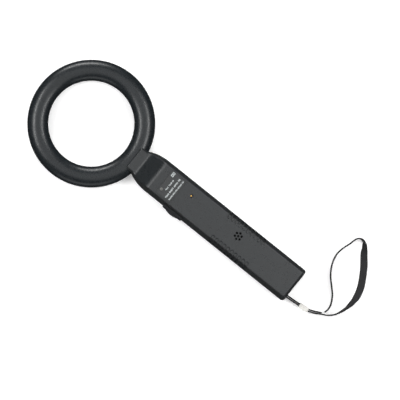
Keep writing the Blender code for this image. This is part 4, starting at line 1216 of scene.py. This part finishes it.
def add_lens():
    """A frosted pin through the label, domed at its top, with a flange under the case's roof."""
    roof = HANDLE_HEIGHT - WALL
    flange = LENS_RADIUS + 1.0 * MM
    shoulder = LABEL_TOP - LENS_SHOULDER
    profile = [(flange, roof - 1.1 * MM), (flange, roof - 0.3 * MM), (LENS_RADIUS, roof - 0.3 * MM)]
    for turn in range(0, 91, 15):
        a = radians(turn)
        profile.append((LENS_RADIUS - 0.25 * MM * (1 - cos(a)), shoulder + LENS_SHOULDER * sin(a)))
    profile += [(LENS_RADIUS / 2, LABEL_TOP + 0.03 * MM), (0.02 * MM, LABEL_TOP + 0.04 * MM)]
    bm = bmesh.new()
    add_turned(bm, LED_AT, profile)
    lens = new_object("lens", bm, LENS)
    stand_in(lens, "indicator_lens")


def add_rotor():
    low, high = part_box("trimmer_rotor")
    radius = (high.x - low.x) / 2 - 0.2 * MM
    bevel = 0.15 * MM
    bm = bmesh.new()
    add_turned(bm, TRIMMER_AT, ((radius, low.z), (radius, high.z - bevel), (radius - bevel, high.z)))
    rotor = new_object("rotor", bm, BRASS)
    slot = bmesh.new()
    x, y = TRIMMER_AT
    start = (x - 2 * radius, y - ROTOR_SLOT_HALF, high.z - ROTOR_SLOT_DEPTH)
    add_box(slot, start, (x + 2 * radius, y + ROTOR_SLOT_HALF, high.z + 1 * MM))
    cut(rotor, slot)
    resmooth(rotor, 30)
    stand_in(rotor, "trimmer_rotor", "trimmer")


# The rocker switch.

BEZEL_EASE = 0.6 * MM
FLANGE_GAP = 0.06 * MM
ROCKER_EASE = 0.45 * MM


def switch_rectangle(half, inward, grow=0.0):
    low = (-half[0] - grow, -half[1] - grow)
    high = (half[0] + grow, half[1] + grow)
    return [switch_place(x, inward, z) for x, z in rounded_rectangle(low, high, 0.7 * MM, 4)]


def add_bezel():
    well = ((0.0, SLEEVE_DEPTH), (0.0, 0.2 * MM - FLANGE_HEIGHT), (0.06 * MM, 0.06 * MM - FLANGE_HEIGHT))
    loops = [switch_rectangle(WELL_HALF, inward, grow) for grow, inward in well]
    loops.append(switch_rectangle(WELL_HALF, -FLANGE_HEIGHT, 0.2 * MM))
    for inset, behind in reversed(quarter_round(BEZEL_EASE, 3)):
        loops.append(switch_rectangle(FLANGE_HALF, behind - FLANGE_HEIGHT, -inset))
    loops.append(switch_rectangle(FLANGE_HALF, -FLANGE_GAP))
    loops.append(switch_rectangle(SLEEVE_HALF, -FLANGE_GAP))
    loops.append(switch_rectangle(SLEEVE_HALF, SLEEVE_DEPTH))
    bezel = new_object("bezel", skinned(loops, closed=True), SWITCH)
    even_normals(bezel)
    stand_in(bezel, "switch_bezel")


def rocker_section():
    """The rocker seen along its axis, in millimetres: x along the case and y inward from the pivot."""
    half = WELL_HALF[0] / MM
    outside = [(half - 0.7, -3.0), (half * 0.72, -4.0), (half * 0.36, -4.75), (0.0, -5.0)]
    inside = [(0.0, 1.4), (half * 0.4, 1.0), (half - 0.4, -0.5)]
    mirrored = [(-x, y) for x, y in outside[-2::-1] + inside[:0:-1]]
    return inside + outside + mirrored


def add_rocker():
    """The crowned rocker: a level middle between two slopes, every edge eased."""
    half_z = WELL_HALF[1] - 0.25 * MM
    ends = [(inset, half_z - end) for end, inset in quarter_round(ROCKER_EASE, 3)]
    rows = []
    for inset, z in [(inset, -z) for inset, z in ends] + ends[::-1]:
        row = []
        for x, y in rocker_section():
            narrowed = x * MM * (1 - inset / WELL_HALF[0])
            lift = inset if y < -1 else 0.0
            row.append(switch_place(narrowed, ROCKER_PIVOT + y * MM + lift, z))
        rows.append(row)
    rocker = new_object("rocker_cap", skinned(rows), SWITCH, smooth_angle=25)
    even_normals(rocker)
    round_edges(rocker, 0.22 * MM, 3, 14)
    resmooth(rocker, 30)
    stand_in(rocker, "switch_rocker", "rocker")


# The back: battery door, screws.

DOOR = ((113.0 * MM, -13.7 * MM), (170.5 * MM, 13.7 * MM))
DOOR_HINGE_X = 112.5 * MM
DOOR_EASE = 0.4 * MM
DOOR_OUTSIDE_Z = 0.3 * MM
DOOR_INSIDE_Z = 1.5 * MM
DOOR_TOP_Z = 2.0 * MM
HOOK_Y = (5.5 * MM, 10.5 * MM)
HOOK_UNDER = 2.3 * MM
HOOK_TOP = 3.5 * MM
TONGUE_X = (167.3 * MM, 168.8 * MM)
TONGUE_HALF = 5.0 * MM
GRIP_X = 150.0 * MM
GRIP_PITCH = 2.2 * MM
GRIP_REACH = 9.0 * MM
GRIP_SHORTER = 0.45 * MM
GRIP_HALF = 0.5 * MM
GRIP_CORNER = 0.45 * MM
GRIP_LEAST_CORNER = 0.1 * MM
GRIP_EDGE = ((0.35 * MM, 0.03 * MM), (0.12 * MM, 0.13 * MM), (0.0, 0.38 * MM), (0.0, 0.63 * MM))
CROSS_HALF = 0.36 * MM


def door_fittings():
    """The door's two hooks at its hinged end and its latch tongue at the other."""
    low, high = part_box("battery_door")
    near = DOOR_HINGE_X + 0.9 * MM
    far = DOOR_HINGE_X + 3.1 * MM
    hook = (
        (low.x, HOOK_UNDER), (near, HOOK_UNDER), (near, DOOR_INSIDE_Z), (far, DOOR_INSIDE_Z),
        (far, HOOK_TOP), (low.x, HOOK_TOP),
    )
    bm = bmesh.new()
    for y_low, y_high in (HOOK_Y, (-HOOK_Y[1], -HOOK_Y[0])):
        add_loops(bm, [[(x, y, z) for x, z in hook] for y in (y_low, y_high)])
    add_box(bm, (TONGUE_X[0], -TONGUE_HALF, DOOR_INSIDE_Z), (TONGUE_X[1], TONGUE_HALF, high.z))
    return bm


def door_grip():
    """Seven raised bars across the door, the middle one the longest, with eased edges."""
    bm = bmesh.new()
    for k in range(7):
        x = GRIP_X + GRIP_PITCH * k
        reach = GRIP_REACH - GRIP_SHORTER * abs(k - 3)
        loops = []
        for inset, z in GRIP_EDGE:
            corner = max(GRIP_LEAST_CORNER, GRIP_CORNER - inset)
            plan = rounded_rectangle((x - GRIP_HALF, -reach), (x + GRIP_HALF, reach), corner, 4, inset)
            loops.append(at_height(plan, z))
        add_loops(bm, loops)
    return bm


def add_door():
    loops = []
    for rise, inset in quarter_round(DOOR_EASE, 5):
        loops.append(at_height(rounded_rectangle(*DOOR, DOOR_CORNER, inset=inset), DOOR_OUTSIDE_Z + rise))
    loops.append([(x, y, DOOR_TOP_Z) for x, y, z in loops[-1]])
    door = new_object("door", skinned(loops), CASE)
    cut(door, door_fittings(), "UNION")
    cut(door, door_grip(), "UNION")
    resmooth(door, 38)
    stand_in(door, "battery_door", "door")


def cross_arm(place, angle, low):
    """One arm of a screw's cross, tapering upwards from below its head."""
    spin = Matrix.Rotation(angle, 2)
    loops = []
    for z, reach in ((low - 1 * MM, 1.75 * MM), (low + 1.5 * MM, 0.7 * MM)):
        corners = ((-reach, -CROSS_HALF), (reach, -CROSS_HALF), (reach, CROSS_HALF), (-reach, CROSS_HALF))
        turned = [spin @ Vector(corner) for corner in corners]
        loops.append([(place[0] + x, place[1] + y, z) for x, y in turned])
    return skinned(loops)


def add_screws():
    under = SCREW_SEAT_Z - 0.3 * MM
    dome = []
    for turn in range(0, 91, 18):
        a = radians(turn)
        radius = max(0.02 * MM, SCREW_HEAD * sin(a))
        dome.append((radius, under - 2.2 * MM + 1.6 * MM * (1 - cos(a))))
    for number, place in enumerate(SCREW_PLACES, 1):
        low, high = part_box(f"case_screw_{number}")
        shank = [(SCREW_HEAD, under), (1.25 * MM, under), (1.25 * MM, high.z - 1 * MM), (0.3 * MM, high.z)]
        bm = bmesh.new()
        add_turned(bm, place, dome + shank)
        screw = new_object(f"screw_{number}", bm, STEEL)
        for angle in (0.4 + number, 0.4 + number + pi / 2):
            cut(screw, cross_arm(place, angle, low.z))
        resmooth(screw, 35)
        stand_in(screw, f"case_screw_{number}")


# Floor and lights.

FLOOR_HALF = 3.0


def add_floor():
    bm = bmesh.new()
    corners = ((-1, -1), (1, -1), (1, 1), (-1, 1))
    bm.faces.new([bm.verts.new((x * FLOOR_HALF, y * FLOOR_HALF, 0.0)) for x, y in corners])
    finish = Finish("backdrop")
    blotches = finish.scaled(finish.noise(0.4), 0.0, 1.0)
    finish.set(colour=finish.mix(blotches, (0.92, 0.92, 0.92), (0.95, 0.95, 0.95)))
    finish.shader.inputs["Emission Strength"].default_value = 0.2
    finish.set(roughness=finish.scaled(finish.noise(0.3), 0.85, 0.95))
    finish.set(specular=0.1)
    floor = new_object("floor", bm, finish.material)
    floor.visible_glossy = False


def add_light(name, turn, tilt, distance, size, watts):
    """A softbox aimed at the face; turn is from the view's right and tilt from the vertical, in degrees."""
    data = bpy.data.lights.new(name, "AREA")
    data.shape = "RECTANGLE"
    data.size, data.size_y = size
    data.energy = watts
    light = bpy.data.objects.new(name, data)
    azimuth = VIEW_TURN + radians(turn)
    level = sin(radians(tilt))
    toward = Vector((level * cos(azimuth), level * sin(azimuth), cos(radians(tilt))))
    light.location = Vector((*VIEW_CENTRE, 0.0)) + toward * distance
    light.rotation_euler = toward.to_track_quat("Z", "Y").to_euler()
    bpy.context.scene.collection.objects.link(light)


def light_scene():
    """Softboxes over the face, left and right of it and low above and below it, with a dim white surround."""
    add_light("softbox_overhead", 0, 0, 1.5, (1.6, 1.6), 10.6)
    add_light("softbox_right", 0, 33, 1.6, (1.2, 0.35), 17)
    add_light("softbox_left", 167, 40, 1.6, (1.0, 0.35), 15.5)
    add_light("softbox_low", 101, 70, 1.6, (1.0, 0.35), 19)
    add_light("softbox_fill", -100, 76, 1.6, (1.8, 0.6), 7)
    world = bpy.data.worlds.new("surround")
    world.use_nodes = True
    background = world.node_tree.nodes["Background"]
    background.inputs["Color"].default_value = (1.0, 1.0, 1.0, 1.0)
    background.inputs["Strength"].default_value = 0.06
    bpy.context.scene.world = world
    bpy.context.scene.view_settings.view_transform = "Standard"


add_camera()
add_strap()
dress_cad_nodes()
add_front_shell()
add_rear_shell()
add_ring()
add_label()
add_label_bars()
add_lens()
add_rotor()
add_bezel()
add_rocker()
add_door()
add_screws()
add_floor()
light_scene()
